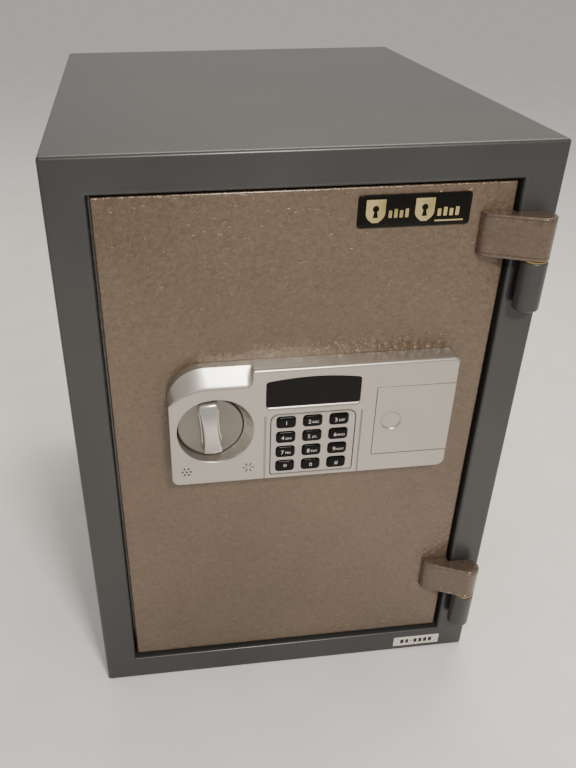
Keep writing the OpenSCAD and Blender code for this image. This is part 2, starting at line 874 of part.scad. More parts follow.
module battery_box() {
    color("#26282a") front() difference() {
        block([cell_x0 - 2.4, cell_y - 2, cell_z[0] - cell_r - 0.8],
              [cell_x0 + cell_l + 2.4, face_y, cell_z[3] + cell_r + 0.8]);
        for (z = cell_z) {
            rod_x(cell_y, z, cell_r + 0.1, cell_x0 - 1.4, cell_x0 + cell_l + 1.4);
            block([cell_x0 - 1.4, cell_y - 3, z - cell_r - 0.1],
                  [cell_x0 + cell_l + 1.4, cell_y, z + cell_r + 0.1]);
        }
    }
}

module batteries() {
    color("#3d3f45") front()
        for (z = cell_z) rod_x(cell_y, z, cell_r, cell_x0, cell_x0 + cell_l);
}

module battery_contacts() {
    color("#c9ccce") front()
        for (z = cell_z, x = [cell_x0 - 1.4, cell_x0 + cell_l])
            rod_x(cell_y, z, 4, x, x + 1.4);
}

module battery_cover() {
    color("#a8a096") front() difference() {
        union() {
            block([hatch_x0, housing_y, hatch_z0],
                  [housing_x1, housing_y + housing_t, hatch_z1]);
            block([housing_x1 - housing_t, housing_y, hatch_z0],
                  [housing_x1, face_y - 0.5, hatch_z1]);
        }
        rod_y(hatch_x0 + 13.5, hatch_z0 + 31.5, 8.5, housing_y - over, housing_y + 1.1);
    }
}

module lock_cable() {
    color("#222222") front()
        rod_y(cable_x, cable_z, cable_r, board_y + board_t, pan_y + lock_plate_t);
}

module cable_grommet() {
    color("#1c1c1c") front() difference() {
        rod_y(cable_x, cable_z, grommet_r, face_y, skin_y);
        rod_y(cable_x, cable_z, cable_r, face_y - over, skin_y + over);
    }
}

// ---- lock work in the door --------------------------------------------------

module knob_bearing() {
    color("#c8a24a") front() difference() {
        union() {
            rod_y(spindle_x, spindle_z, bearing_r, face_y - bearing_rim_t, pan_y + lock_plate_t + 1);
            rod_y(spindle_x, spindle_z, bearing_rim_r, face_y - bearing_rim_t, face_y);
        }
        rod_y(spindle_x, spindle_z, spindle_r + spindle_clear, 0, cam_y0);
    }
}

module lock_plate() {
    color("#8c8e90") front() difference() {
        block([-tray_x + tray_t + guide_l + 1, pan_y, spindle_z - 42],
              [block_x + solenoid_l + 8, pan_y + lock_plate_t, spindle_z + 42]);
        rod_y(spindle_x, spindle_z, bearing_r, pan_y - over, pan_y + lock_plate_t + over);
        rod_y(cable_x, cable_z, cable_r, pan_y - over, pan_y + lock_plate_t + over);
    }
}

module bolt_guides() {
    color("#a9abac") front()
        for (z = bolt_z)
            difference() {
                block([-tray_x + tray_t, pan_y, z - 13],
                      [-tray_x + tray_t + guide_l, bolt_y + bolt_r + 2, z + 13]);
                rod_x(bolt_y, z, bolt_r + bolt_clear, -tray_x, bar_x);
            }
}

module solenoid() {
    color("#3b4a6b") front() {
        difference() {
            block([block_x + 3, pan_y + lock_plate_t, spindle_z - solenoid_w / 2],
                  [block_x + 3 + solenoid_l, pan_y + lock_plate_t + solenoid_t, spindle_z + solenoid_w / 2]);
            rod_x(cam_y0 + 2, spindle_z, block_r + block_clear, block_x, block_x + block_l + 1);
        }
        block([cable_x - 6, pan_y + lock_plate_t, cable_z - 5],
              [cable_x + 6, pan_y + lock_plate_t + 7, spindle_z - solenoid_w / 2]);
    }
}

module dog_bolts() {
    color("#b9bbbc") front()
        for (z = dog_z) rod_x(bolt_y, z, dog_r, tray_x - 12, throat_x + dog_l);
}

// Grip in side view: flat on the disc, arched in front.
module grip_side() {
    half = grip_l / 2;
    end = grip_h * 0.5;
    rise = grip_h - end;
    arc = (half * half + rise * rise) / (2 * rise);
    intersection() {
        translate([0, grip_h - arc]) circle(arc, $fn = 160);
        translate([-half, 0]) square([grip_l, grip_h + over]);
    }
}

// Grip from the front: a bar with a waist.
module grip_front() {
    waist = 2.2;
    half = grip_l / 2;
    arc = (half * half + waist * waist) / (2 * waist);
    difference() {
        corner_rect(-grip_w / 2, -half, grip_w / 2, half, [3.5, 3.5, 3.5, 3.5]);
        for (side = [-1, 1])
            translate([side * (grip_w / 2 - waist + arc), 0]) circle(arc, $fn = 200);
    }
}

module knob() {
    color("#a8a096") front() {
        rod_y(spindle_x, spindle_z, knob_r, disc_y, disc_y + disc_t);
        difference() {
            rod_y(spindle_x, spindle_z, knob_hub_r, disc_y + disc_t, face_y - bearing_rim_t - disc_gap);
            rod_y(spindle_x, spindle_z, spindle_r, disc_y + disc_t, face_y);
        }
        translate([spindle_x, disc_y, spindle_z]) rotate([0, -grip_lean, 0]) intersection() {
            slab(-grip_h, 0) grip_front();
            translate([-grip_w, 0, 0]) rotate([180, -90, 0])
                linear_extrude(2 * grip_w) grip_side();
        }
    }
}

module knob_spindle() {
    color("#b9bbbc") front() {
        rod_y(spindle_x, spindle_z, spindle_r, disc_y + disc_t, cam_y1 + clip_t);
        difference() {
            rod_y(spindle_x, spindle_z, spindle_r + 2.5, cam_y1, cam_y1 + clip_t);
            rod_y(spindle_x, spindle_z, spindle_r - 0.5, cam_y1 - over, cam_y1 + clip_t + over);
        }
    }
}

// One arm of the cam, at an angle from +X towards +Z.
module cam_arm_outline(angle, reach) {
    rotate(angle) {
        translate([0, -cam_half]) square([reach, 2 * cam_half]);
        translate([reach, 0]) circle(cam_half);
    }
}

module drive_cam() {
    color("#8c8e90") front() translate([spindle_x, 0, spindle_z]) {
        slab(cam_y0, cam_y1) difference() {
            union() {
                circle(cam_hub_r);
                cam_arm_outline(45, cam_arm);
                cam_arm_outline(-45, cam_reach - cam_half);
            }
            circle(spindle_r);
        }
        rod_y(cam_arm * cos(45), cam_arm * sin(45), drive_r, cam_y1, cam_y1 + 6);
    }
}

// Bar that carries the locking bolts, with the slotted lug that the cam drives.
module bolt_bar() {
    slot_x = spindle_x + cam_arm * cos(45);
    color("#8c8e90") front() {
        difference() {
            block([bar_x, bar_y0, bolt_z[0] - 12], [bar_x + bar_t, bar_y1, bolt_z[2] + 12]);
            for (z = bolt_z) rod_x(bolt_y, z, stud_r, bar_x - over, bar_x + bar_t + over);
        }
        difference() {
            block([bar_x + bar_t, bar_y0, spindle_z + 3],
                  [slot_x + drive_r + slot_play + 4, bar_y0 + 3, spindle_z + cam_arm + 8]);
            block([slot_x - drive_r - slot_play, bar_y0 - over, spindle_z + cam_arm * sin(45) - 4],
                  [slot_x + drive_r + slot_play, bar_y0 + 3 + over, spindle_z + cam_arm + 4]);
        }
    }
}

// Each locking bolt has a stud behind it that is riveted in the bar.
module locking_bolts() {
    color("#b9bbbc") front()
        for (z = bolt_z) {
            rod_x(bolt_y, z, bolt_r, -tray_x, bar_x);
            rod_x(bolt_y, z, stud_r, bar_x, bar_x + bar_t + 1.5);
        }
}

module blocking_pin() {
    color("#b9bbbc") front() rod_x(cam_y0 + 2, spindle_z, block_r, block_x, block_x + block_l);
}

outer_casing();
back_panel();
wall_insulation();
inner_liner();
door_jamb();
fire_seal();
bolt_keepers();
shelf();
shelf_pegs();
floor_mat();
hinge_barrels();
hinge_pins();
hinge_washers();
frame_label();
door_skin();
door_insulation();
door_tray();
inner_cover();
cover_insulation();
cover_screws();
hinge_straps();
hinge_bolts();
badge();
lock_housing();
housing_screws();
keypad_surround();
display_window();
display_module();
keypad_board();
key_mat();
key(0, 0);  // key_1
key(1, 0);  // key_2
key(2, 0);  // key_3
key(0, 1);  // key_4
key(1, 1);  // key_5
key(2, 1);  // key_6
key(0, 2);  // key_7
key(1, 2);  // key_8
key(2, 2);  // key_9
key(0, 3);  // key_star
key(1, 3);  // key_0
key(2, 3);  // key_hash
sounder();
battery_box();
batteries();
battery_contacts();
battery_cover();
lock_cable();
cable_grommet();
knob_bearing();
lock_plate();
bolt_guides();
solenoid();
dog_bolts();
knob();
knob_spindle();
drive_cam();
bolt_bar();
locking_bolts();
blocking_pin();
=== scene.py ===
"""Looks of a small fire-resistant gun safe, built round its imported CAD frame.

The CAD nodes give every place and size. Each class below is one sub-assembly: it builds the
detailed pieces that stand for its CAD nodes and dresses the nodes that stay. Lengths inside
the classes are in millimetres, and meshes are made in metres.
"""

import functools
import json
import logging
import math
from collections.abc import Iterable, Sequence
from dataclasses import dataclass, field
from enum import Enum
from typing import NamedTuple

import bmesh
import bpy
from mathutils import Matrix, Vector


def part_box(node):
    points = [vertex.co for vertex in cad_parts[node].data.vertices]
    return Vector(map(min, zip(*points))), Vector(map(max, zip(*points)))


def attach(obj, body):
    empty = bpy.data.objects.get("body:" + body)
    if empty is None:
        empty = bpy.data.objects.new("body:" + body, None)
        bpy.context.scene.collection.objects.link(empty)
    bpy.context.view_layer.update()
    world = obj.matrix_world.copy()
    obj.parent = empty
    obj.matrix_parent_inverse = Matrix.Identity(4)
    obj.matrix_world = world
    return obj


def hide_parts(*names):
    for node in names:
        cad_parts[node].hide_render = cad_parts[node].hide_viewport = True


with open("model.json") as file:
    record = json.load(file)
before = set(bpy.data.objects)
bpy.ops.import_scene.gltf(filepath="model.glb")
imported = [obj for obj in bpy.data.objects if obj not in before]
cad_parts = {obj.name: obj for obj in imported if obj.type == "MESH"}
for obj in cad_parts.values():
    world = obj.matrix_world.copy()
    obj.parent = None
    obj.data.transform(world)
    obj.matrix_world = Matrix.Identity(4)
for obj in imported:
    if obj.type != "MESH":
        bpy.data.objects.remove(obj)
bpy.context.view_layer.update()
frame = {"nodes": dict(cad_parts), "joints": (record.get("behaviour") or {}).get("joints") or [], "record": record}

LOG = logging.getLogger("gun_safe")
MM = 0.001

Point = tuple[float, float]
Ring = list[Vector]
Node = bpy.types.Node
Tree = bpy.types.NodeTree
Socket = bpy.types.NodeSocket
Source = Node | Socket
Piece = bpy.types.Object

NOISE = "ShaderNodeTexNoise"
CELLS = "ShaderNodeTexVoronoi"
MATHS = "ShaderNodeMath"
MAPPING = "ShaderNodeMapping"
# edges sharper than this stay sharp, and faces flatter than this become one
SHARP_ANGLE = math.radians(32)
FLAT_ANGLE = math.radians(0.5)
# points nearer than this are one point, in metres
SAME_POINT = 1e-6
# where a lathe's profile ends at its axis, in millimetres
AXIS = 0.01


# ---- finishes ------------------------------------------------------------------------------


def linear(colour: str) -> tuple[float, float, float, float]:
    """Turns an sRGB hex colour into linear RGBA.

    Args:
        colour: The colour as "#rrggbb".

    Returns:
        The four linear channels.
    """
    parts = [int(colour[i : i + 2], 16) / 255 for i in (1, 3, 5)]
    flat = [c / 12.92 if c <= 0.04045 else ((c + 0.055) / 1.055) ** 2.4 for c in parts]
    return (flat[0], flat[1], flat[2], 1.0)


def per_mm(size: float) -> float:
    """Turns the size of a pattern's features in millimetres into a texture's scale."""
    return 1 / (size * MM)


def add_node(
    tree: Tree, kind: str, sockets: dict[str | int, object] | None = None, **settings: object
) -> Node:
    """Adds one node to a shader or geometry tree.

    Args:
        tree: The tree that gets the node.
        kind: The node's type name.
        sockets: Input sockets by name or number. Each has a value, an output that feeds it, or
            a node whose first output feeds it.
        **settings: Properties of the node itself.

    Returns:
        The new node.
    """
    made = tree.nodes.new(kind)
    for name, value in settings.items():
        setattr(made, name, value)
    for key, value in (sockets or {}).items():
        if isinstance(value, Source):
            tree.links.new(value if isinstance(value, Socket) else value.outputs[0], made.inputs[key])
        else:
            made.inputs[key].default_value = value
    return made


class Maps(NamedTuple):
    """What a pattern gives its material.

    Attributes:
        tint: Output that runs from the dark colour at 0.3 to the light one at 0.7.
        height: Output that the relief follows.
        wear: Output that the roughness follows.
    """

    tint: Source
    height: Source
    wear: Source


@dataclass(frozen=True)
class Surface:
    """One finish: the colours and sizes that its material is made from.

    Attributes:
        name: The material's name, which says what it really is.
        dark: The darkest colour of the surface.
        light: The lightest colour of the surface.
        grain_mm: Size of the main pattern.
        relief_mm: Depth of the main pattern.
        roughness: Roughness in the middle of its range.
        spread: How far the roughness wanders either way.
        metallic: Share of metal in the surface.
        coat: Weight of a clear coat.
        coat_roughness: Roughness of that coat.
        ramp: Where the dark and the light colour stand on the tint.
        clouds: Size of the slow clouds, in grains.
    """

    name: str
    dark: str
    light: str
    grain_mm: float = 1.0
    relief_mm: float = 0.02
    roughness: float = 0.5
    spread: float = 0.05
    metallic: float = 0.0
    coat: float = 0.0
    coat_roughness: float = 0.12
    ramp: Point = (0.3, 0.7)
    clouds: float = 40.0

    def pattern(self, tree: Tree, place: Socket) -> Maps:
        """Makes a fine even grain under slow clouds.

        Args:
            tree: The material's tree.
            place: The Object coordinates.

        Returns:
            The clouds as tint and wear, and the grain as height.
        """
        slow = per_mm(self.grain_mm * self.clouds)
        cloud = add_node(tree, NOISE, {"Vector": place, "Scale": slow, "Detail": 3.0})
        grain = add_node(tree, NOISE, {"Vector": place, "Scale": per_mm(self.grain_mm), "Detail": 3.0})
        return Maps(cloud, grain, cloud)

    def extras(self, shader: Node) -> None:
        """Sets what only some finishes have, such as a sheen."""

    def build(self) -> bpy.types.Material:
        """Makes the material.

        Returns:
            The new material.
        """
        made = bpy.data.materials.new(self.name)
        made.use_nodes = True
        tree = made.node_tree
        shader = tree.nodes["Principled BSDF"]
        maps = self.pattern(tree, add_node(tree, "ShaderNodeTexCoord").outputs["Object"])
        tint = add_node(tree, "ShaderNodeValToRGB", {"Fac": maps.tint})
        ends = zip(tint.color_ramp.elements, self.ramp, (self.dark, self.light), strict=True)
        for end, position, colour in ends:
            end.position, end.color = position, linear(colour)
        smooth, dull = self.roughness - self.spread, self.roughness + self.spread
        rough = add_node(tree, "ShaderNodeMapRange", {"Value": maps.wear, "To Min": smooth, "To Max": dull})
        relief = add_node(tree, "ShaderNodeBump", {"Height": maps.height, "Distance": self.relief_mm * MM})
        for socket, node in (("Base Color", tint), ("Roughness", rough), ("Normal", relief)):
            tree.links.new(node.outputs[0], shader.inputs[socket])
        shader.inputs["Metallic"].default_value = self.metallic
        shader.inputs["Coat Weight"].default_value = self.coat
        shader.inputs["Coat Roughness"].default_value = self.coat_roughness
        self.extras(shader)
        return made


@dataclass(frozen=True)
class PowderPaint(Surface):
    """Sprayed powder paint: a soft orange peel, half gloss, with specks of dust under it.

    Attributes:
        cloud_mm: Size of the slow clouds.
        speck_mm: Distance between the specks.
        speck_size: Radius of a speck, as a share of that distance.
        speck_height: How far a speck stands out, next to the orange peel.
    """

    cloud_mm: float = 110.0
    speck_mm: float = 34.0
    speck_size: float = 0.016
    speck_height: float = 3.0

    def pattern(self, tree: Tree, place: Socket) -> Maps:
        """Makes slow clouds, the orange peel and scattered specks.

        Args:
            tree: The material's tree.
            place: The Object coordinates.

        Returns:
            Peel over clouds less the specks, the relief of both, and the clouds.
        """
        cloud = add_node(tree, NOISE, {"Vector": place, "Scale": per_mm(self.cloud_mm), "Detail": 3.0})
        peel = add_node(tree, NOISE, {"Vector": place, "Scale": per_mm(self.grain_mm), "Detail": 2.0})
        cells = add_node(tree, CELLS, {"Vector": place, "Scale": per_mm(self.speck_mm)})
        speck = add_node(tree, MATHS, {0: cells, 1: self.speck_size}, operation="LESS_THAN")
        share = add_node(tree, MATHS, {0: cloud, 1: 0.75}, operation="MULTIPLY")
        tint = add_node(tree, MATHS, {0: peel, 1: 0.25, 2: share}, operation="MULTIPLY_ADD")
        dotted = add_node(tree, MATHS, {0: tint, 1: speck}, operation="SUBTRACT")
        bump = add_node(tree, MATHS, {0: speck, 1: self.speck_height}, operation="MULTIPLY")
        return Maps(dotted, add_node(tree, MATHS, {0: peel, 1: bump}, operation="SUBTRACT"), cloud)


@dataclass(frozen=True)
class HammerPaint(Surface):
    """Hammer-finish enamel: the paint draws back into small dimples as it dries.

    Attributes:
        cloud_mm: Size of the slow clouds.
        bend: How strongly the dimples are bent out of round.
    """

    cloud_mm: float = 140.0
    bend: float = 1.2

    def pattern(self, tree: Tree, place: Socket) -> Maps:
        """Makes dimples with rims between them, lighter where the paint is thin.

        Args:
            tree: The material's tree.
            place: The Object coordinates.

        Returns:
            Thin paint over clouds, the dimples, and the thin paint.
        """
        warp = {"Scale": per_mm(self.grain_mm * 0.8), "Detail": 2.5, "Distortion": self.bend}
        bent = add_node(tree, NOISE, {"Vector": place, **warp})
        cell = {"Vector": place, "Scale": per_mm(self.grain_mm), "Smoothness": 0.7}
        dimple = add_node(tree, CELLS, cell, feature="SMOOTH_F1")
        height = add_node(tree, MATHS, {0: bent, 1: 1.1, 2: dimple}, operation="MULTIPLY_ADD")
        cloud = add_node(tree, NOISE, {"Vector": place, "Scale": per_mm(self.cloud_mm), "Detail": 3.0})
        share = add_node(tree, MATHS, {0: cloud, 1: 0.45}, operation="MULTIPLY")
        tint = add_node(tree, MATHS, {0: bent, 1: 0.55, 2: share}, operation="MULTIPLY_ADD")
        return Maps(tint, height, bent)


@dataclass(frozen=True)
class FlakePlastic(Surface):
    """ABS sprayed with silver lacquer: fine metal flake in a satin film.

    Attributes:
        cloud_mm: Size of the slow clouds.
    """

    cloud_mm: float = 70.0

    def pattern(self, tree: Tree, place: Socket) -> Maps:
        """Makes the flake, drawn a little coarser than it is so that it shows.

        Args:
            tree: The material's tree.
            place: The Object coordinates.

        Returns:
            Flake over clouds, the flake, and the clouds.
        """
        flake = add_node(tree, NOISE, {"Vector": place, "Scale": per_mm(self.grain_mm), "Detail": 1.0})
        cloud = add_node(tree, NOISE, {"Vector": place, "Scale": per_mm(self.cloud_mm), "Detail": 3.0})
        share = add_node(tree, MATHS, {0: cloud, 1: 0.5}, operation="MULTIPLY")
        tint = add_node(tree, MATHS, {0: flake, 1: 0.5, 2: share}, operation="MULTIPLY_ADD")
        return Maps(tint, flake, cloud)


@dataclass(frozen=True)
class BrushedMetal(Surface):
    """Plated or turned steel: fine lines along one direction, and slow stains across them.

    Attributes:
        lines: How much finer the pattern runs along X, Y and Z.
        stain_mm: Size of the stains.
    """

    lines: tuple[float, float, float] = (1.0, 1.0, 12.0)
    stain_mm: float = 45.0

    def pattern(self, tree: Tree, place: Socket) -> Maps:
        """Makes the lines by stretching a noise, and the stains from a slow one.

        Args:
            tree: The material's tree.
            place: The Object coordinates.

        Returns:
            Lines over stains, the lines, and the stains.
        """
        drawn = add_node(tree, MAPPING, {"Vector": place, "Scale": self.lines})
        line = add_node(tree, NOISE, {"Vector": drawn, "Scale": per_mm(self.grain_mm), "Detail": 4.0})
        stain = add_node(tree, NOISE, {"Vector": place, "Scale": per_mm(self.stain_mm), "Detail": 5.0})
        share = add_node(tree, MATHS, {0: stain, 1: 0.6}, operation="MULTIPLY")
        tint = add_node(tree, MATHS, {0: line, 1: 0.4, 2: share}, operation="MULTIPLY_ADD")
        return Maps(tint, line, stain)


@dataclass(frozen=True)
class Spangled(Surface):
    """Galvanised steel sheet: flat crystals of zinc, each with its own shade.

    Attributes:
        fine_mm: Size of the fine grain inside the crystals.
    """

    fine_mm: float = 0.8

    def pattern(self, tree: Tree, place: Socket) -> Maps:
        """Makes the crystals from the colour of Voronoi cells.

        Args:
            tree: The material's tree.
            place: The Object coordinates.

        Returns:
            The crystals' shades, the fine grain, and the shades.
        """
        cells = add_node(tree, CELLS, {"Vector": place, "Scale": per_mm(self.grain_mm)})
        shade = add_node(tree, "ShaderNodeSeparateColor", {"Color": cells.outputs["Color"]})
        fine = add_node(tree, NOISE, {"Vector": place, "Scale": per_mm(self.fine_mm), "Detail": 3.0})
        tint = add_node(tree, MATHS, {0: shade, 1: 0.5, 2: 0.25}, operation="MULTIPLY_ADD")
        return Maps(tint, fine, shade)


@dataclass(frozen=True)
class Fibrous(Surface):
    """Needled felt: short fibres laid every way, dull, with a soft sheen at grazing angles.

    Attributes:
        stretch: How much longer than wide the fibres are.
        tangle: How strongly they are bent.
        cloud_mm: Size of the slow clouds.
        sheen: Weight and roughness of the sheen.
    """

    stretch: float = 7.0
    tangle: float = 1.5
    cloud_mm: float = 30.0
    sheen: float = 0.5

    def pattern(self, tree: Tree, place: Socket) -> Maps:
        """Makes two sets of crossed fibres over slow clouds.

        Args:
            tree: The material's tree.
            place: The Object coordinates.

        Returns:
            Fibres over clouds, the fibres, and the clouds.
        """
        sets = []
        for scale in ((1.0, self.stretch, 1.0), (self.stretch, 1.0, 1.0)):
            drawn = add_node(tree, MAPPING, {"Vector": place, "Scale": scale})
            bent = {"Scale": per_mm(self.grain_mm), "Detail": 2.0, "Distortion": self.tangle}
            sets.append(add_node(tree, NOISE, {"Vector": drawn, **bent}))
        fibres = add_node(tree, MATHS, dict(enumerate(sets)), operation="MAXIMUM")
        cloud = add_node(tree, NOISE, {"Vector": place, "Scale": per_mm(self.cloud_mm), "Detail": 3.0})
        share = add_node(tree, MATHS, {0: cloud, 1: 0.3}, operation="MULTIPLY")
        tint = add_node(tree, MATHS, {0: fibres, 1: 0.7, 2: share}, operation="MULTIPLY_ADD")
        return Maps(tint, fibres, cloud)

    def extras(self, shader: Node) -> None:
        """Adds the sheen of loose fibres."""
        for socket in ("Sheen Weight", "Sheen Roughness"):
            shader.inputs[socket].default_value = self.sheen


@dataclass(frozen=True)
class Gloss(Surface):
    """Polished black acrylic or resin: deep, with weak reflections of the room.

    Attributes:
        level: Strength of its reflections next to those of a common plastic, which is 0.5.
    """

    level: float = 0.14

    def extras(self, shader: Node) -> None:
        """Weakens the reflections."""
        shader.inputs["Specular IOR Level"].default_value = self.level


@dataclass(frozen=True)
class CastFilling(Surface):
    """Cast fire-resistant filling: a light mineral body with grains and air holes."""

    def pattern(self, tree: Tree, place: Socket) -> Maps:
        """Makes the grains and the holes.

        Args:
            tree: The material's tree.
            place: The Object coordinates.

        Returns:
            The grains as tint and wear, and the holes between them as height.
        """
        holes = add_node(tree, CELLS, {"Vector": place, "Scale": per_mm(self.grain_mm)})
        grain = add_node(tree, NOISE, {"Vector": place, "Scale": per_mm(self.grain_mm * 0.5), "Detail": 6.0})
        return Maps(grain, add_node(tree, MATHS, {0: holes, 1: grain}, operation="MULTIPLY"), grain)


@dataclass(frozen=True)
class CircuitBoard(Surface):
    """Glass-fibre board under green solder mask, with copper tracks that stand up through it.

    Attributes:
        track: Width of a track, as a share of the pattern.
        cloud_mm: Size of the slow clouds.
    """

    track: float = 0.06
    cloud_mm: float = 20.0

    def pattern(self, tree: Tree, place: Socket) -> Maps:
        """Makes the tracks as the joints of a brick pattern seen from the front.

        Args:
            tree: The material's tree.
            place: The Object coordinates.

        Returns:
            The tracks as tint and height, and slow clouds as wear.
        """
        front = add_node(tree, MAPPING, {"Vector": place, "Rotation": (math.pi / 2, 0.0, 0.0)})
        brick = {"Vector": front, "Scale": per_mm(self.grain_mm), "Mortar Size": self.track}
        tracks = add_node(tree, "ShaderNodeTexBrick", brick).outputs["Fac"]
        cloud = add_node(tree, NOISE, {"Vector": place, "Scale": per_mm(self.cloud_mm), "Detail": 3.0})
        return Maps(tracks, tracks, cloud)


class Finish(Enum):
    """The finishes of the safe. The comment over each says what the surface gives the eye, and where light or
    shade is painted into its colour.
    """

    # body: dull clouds, soft reflections and a few specks of dust under the paint
    BODY_PAINT = PowderPaint("powder_paint_grey", "#2c2c2d", "#363636", 1.8, 0.05, 0.36, 0.06, 0.0, 0.12)
    # door: mottled dimples that each catch a small light, with a little metal in the brown
    DOOR_PAINT = HammerPaint("hammer_enamel_taupe", "#564839", "#6f5e4e", 4.6, 0.6, 0.32, 0.06, 0.3, 0.45)
    # straps: the same enamel, thinner and smoother over a filed casting, with its colour painted darker as painted
    # shade
    STRAP_PAINT = HammerPaint("hammer_enamel_thin", "#4f4237", "#665649", 4.6, 0.2, 0.27, 0.05, 0.3, 0.5)
    # liner: the body's paint sprayed thin, so lighter, duller and with hardly any orange peel
    LINER_PAINT = PowderPaint("powder_paint_light_grey", "#6d6f70", "#7d7f80", 1.2, 0.015, 0.55, 0.05)
    # lock housing: a warm silver that brightens softly wherever it turns to the light
    SILVER_ABS = FlakePlastic("abs_silver_lacquer", "#a6a199", "#b7b2aa", 0.5, 0.003, 0.3, 0.04, 0.75)
    # knob's disc: the housing's silver lacquer with its colour painted darker, as painted shade where the disc
    # sits deep in the dish
    SILVER_DISC = FlakePlastic(
        "abs_silver_lacquer_turned", "#76716b", "#86817b", 0.5, 0.003, 0.27, 0.04, 0.85
    )
    # knob's grip: the housing's silver lacquer with its colour painted brighter, as a painted highlight on the
    # crest that faces the lamp
    SILVER_GRIP = FlakePlastic("abs_silver_lacquer_worn", "#bdb8b1", "#cbc6bf", 0.5, 0.002, 0.24, 0.04, 0.8)
    # moulded covers: a fine spark-eroded grain that takes the shine off the black
    DARK_ABS = Surface("abs_dark_grained", "#2a2b2d", "#353638", 0.45, 0.02, 0.5, 0.05)
    # keys: wet-looking black with one small highlight on each crown
    KEY_BLACK = Gloss("acrylic_black_gloss", "#050505", "#0a0a0a", 0.9, 0.001, 0.12, 0.03)
    # display window: nearly black and smooth, with a faint brown cast from the smoke tint
    WINDOW_BLACK = Gloss("acrylic_smoked", "#0c0a09", "#12100f", 1.5, 0.001, 0.14, 0.03)
    # badge: a deep black dome of resin that carries one soft reflection
    BADGE_ENAMEL = Gloss("domed_resin_black", "#0b0a07", "#12110d", 2.0, 0.002, 0.14, 0.03)
    # badge's ornament: stamped foil, pale gold and half dull, with a broken shine
    GOLD_FOIL = Surface("gold_foil", "#9c8c5a", "#c9bb8a", 0.6, 0.01, 0.38, 0.06, 0.5)
    # sticker: an off-white film, flat and slightly glossy
    LABEL_FILM = Surface("polyester_film_white", "#c9c2b8", "#dcd6cc", 0.8, 0.004, 0.45, 0.04)
    # print on the keys: a chalky white that shows no shine against the gloss below it
    PRINT_INK = Surface("screen_ink_white", "#b9b7b0", "#d2d0ca", 0.4, 0.004, 0.6, 0.05)
    # print on the sticker: a dull brownish black
    DARK_INK = Surface("thermal_print_black", "#15140f", "#26241f", 0.5, 0.003, 0.6, 0.05)
    # jamb, tray and brackets: patches of light and dark grey with straight borders
    ZINC_STEEL = Spangled("galvanised_steel", "#8c8f90", "#b4b7b8", 6.0, 0.004, 0.38, 0.08, 0.9)
    # bolts, pins and screws: bright, with fine lines that draw each highlight out
    BRIGHT_STEEL = BrushedMetal("turned_steel_plated", "#a9a9a6", "#cfcfcb", 0.5, 0.003, 0.24, 0.06, 1.0)
    # hinge washers, sounder and knob bearing: a warm yellow, seen as thin lines
    BRASS = BrushedMetal("brass_turned", "#9a7f45", "#cdb277", 0.5, 0.003, 0.28, 0.06, 1.0)
    # filling of walls and door: a pale crumbly stone without any shine
    FIRE_FILLING = CastFilling("cast_vermiculite", "#b3aa98", "#ddd6c6", 3.0, 0.4, 0.9, 0.04)
    # fire seal and cable grommet: a dull black, a little rough
    SEAL_STRIP = Surface("intumescent_strip", "#1f1f1e", "#33322f", 1.2, 0.08, 0.8, 0.06)
    # mat: dark and deep, with a lighter bloom where it is seen from the side
    FELT = Fibrous("needled_felt_charcoal", "#232527", "#4c5055", 0.9, 0.25, 0.95, 0.03)
    # key mat: a soft waxy grey
    SILICONE = Surface("silicone_rubber_grey", "#7c7c78", "#93938e", 0.7, 0.01, 0.6, 0.05)
    # boards: satin green with paler raised lines
    CIRCUIT_BOARD = CircuitBoard("glass_fibre_board_green", "#143d22", "#2c6a3e", 3.2, 0.03, 0.4, 0.05)
    # display: a grey-green sheet with a sharp reflection
    DISPLAY_GLASS = Surface("display_glass_green", "#4d5b49", "#647560", 2.0, 0.001, 0.15, 0.03, 0.0, 0.5)
    # cells: printed foil, dark and glossy, with a long highlight
    CELL_JACKET = BrushedMetal("cell_jacket_foil", "#2d2f36", "#494c55", 0.8, 0.002, 0.3, 0.05, 0.4)
    # cable: plain black, half dull
    CABLE_JACKET = Surface("pvc_jacket_black", "#151515", "#232323", 0.6, 0.01, 0.55, 0.05)
    # solenoid: a muted blue moulding
    COIL_CASE = Surface("nylon_case_blue", "#2f3c58", "#3f4f71", 0.5, 0.015, 0.5, 0.05)
    # floor: plain pale paper that takes soft shadows and no reflections
    FLOOR = Surface("matt_paper_backdrop", "#f1f0ee", "#f8f7f5", 2.0, 0.01, 0.9, 0.02)


# the record's slots and the finish that each takes
SLOTS: dict[str, Finish] = {finish.name.lower(): finish for finish in Finish}


@functools.cache
def material(finish: Finish) -> bpy.types.Material:
    """Makes a finish's material the first time it is asked for, and returns it."""
    return finish.value.build()


# ---- meshes --------------------------------------------------------------------------------


@dataclass(frozen=True)
class Box:
    """A box in millimetres.

    Attributes:
        low: Its lowest corner.
        high: Its highest corner.
    """

    low: Vector
    high: Vector

    @classmethod
    def of(cls, node: str) -> "Box":
        """Returns a CAD node's box."""
        low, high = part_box(node)
        return cls(Vector(low) / MM, Vector(high) / MM)

    @classmethod
    def round(cls, points: Sequence[Vector]) -> "Box":
        """Returns the box round some points in millimetres."""
        axes = list(zip(*points, strict=True))
        return cls(Vector(map(min, axes)), Vector(map(max, axes)))

    @property
    def middle(self) -> Vector:
        """The box's centre."""
        return (self.low + self.high) / 2

    @property
    def size(self) -> Vector:
        """The box's width, depth and height."""
        return self.high - self.low


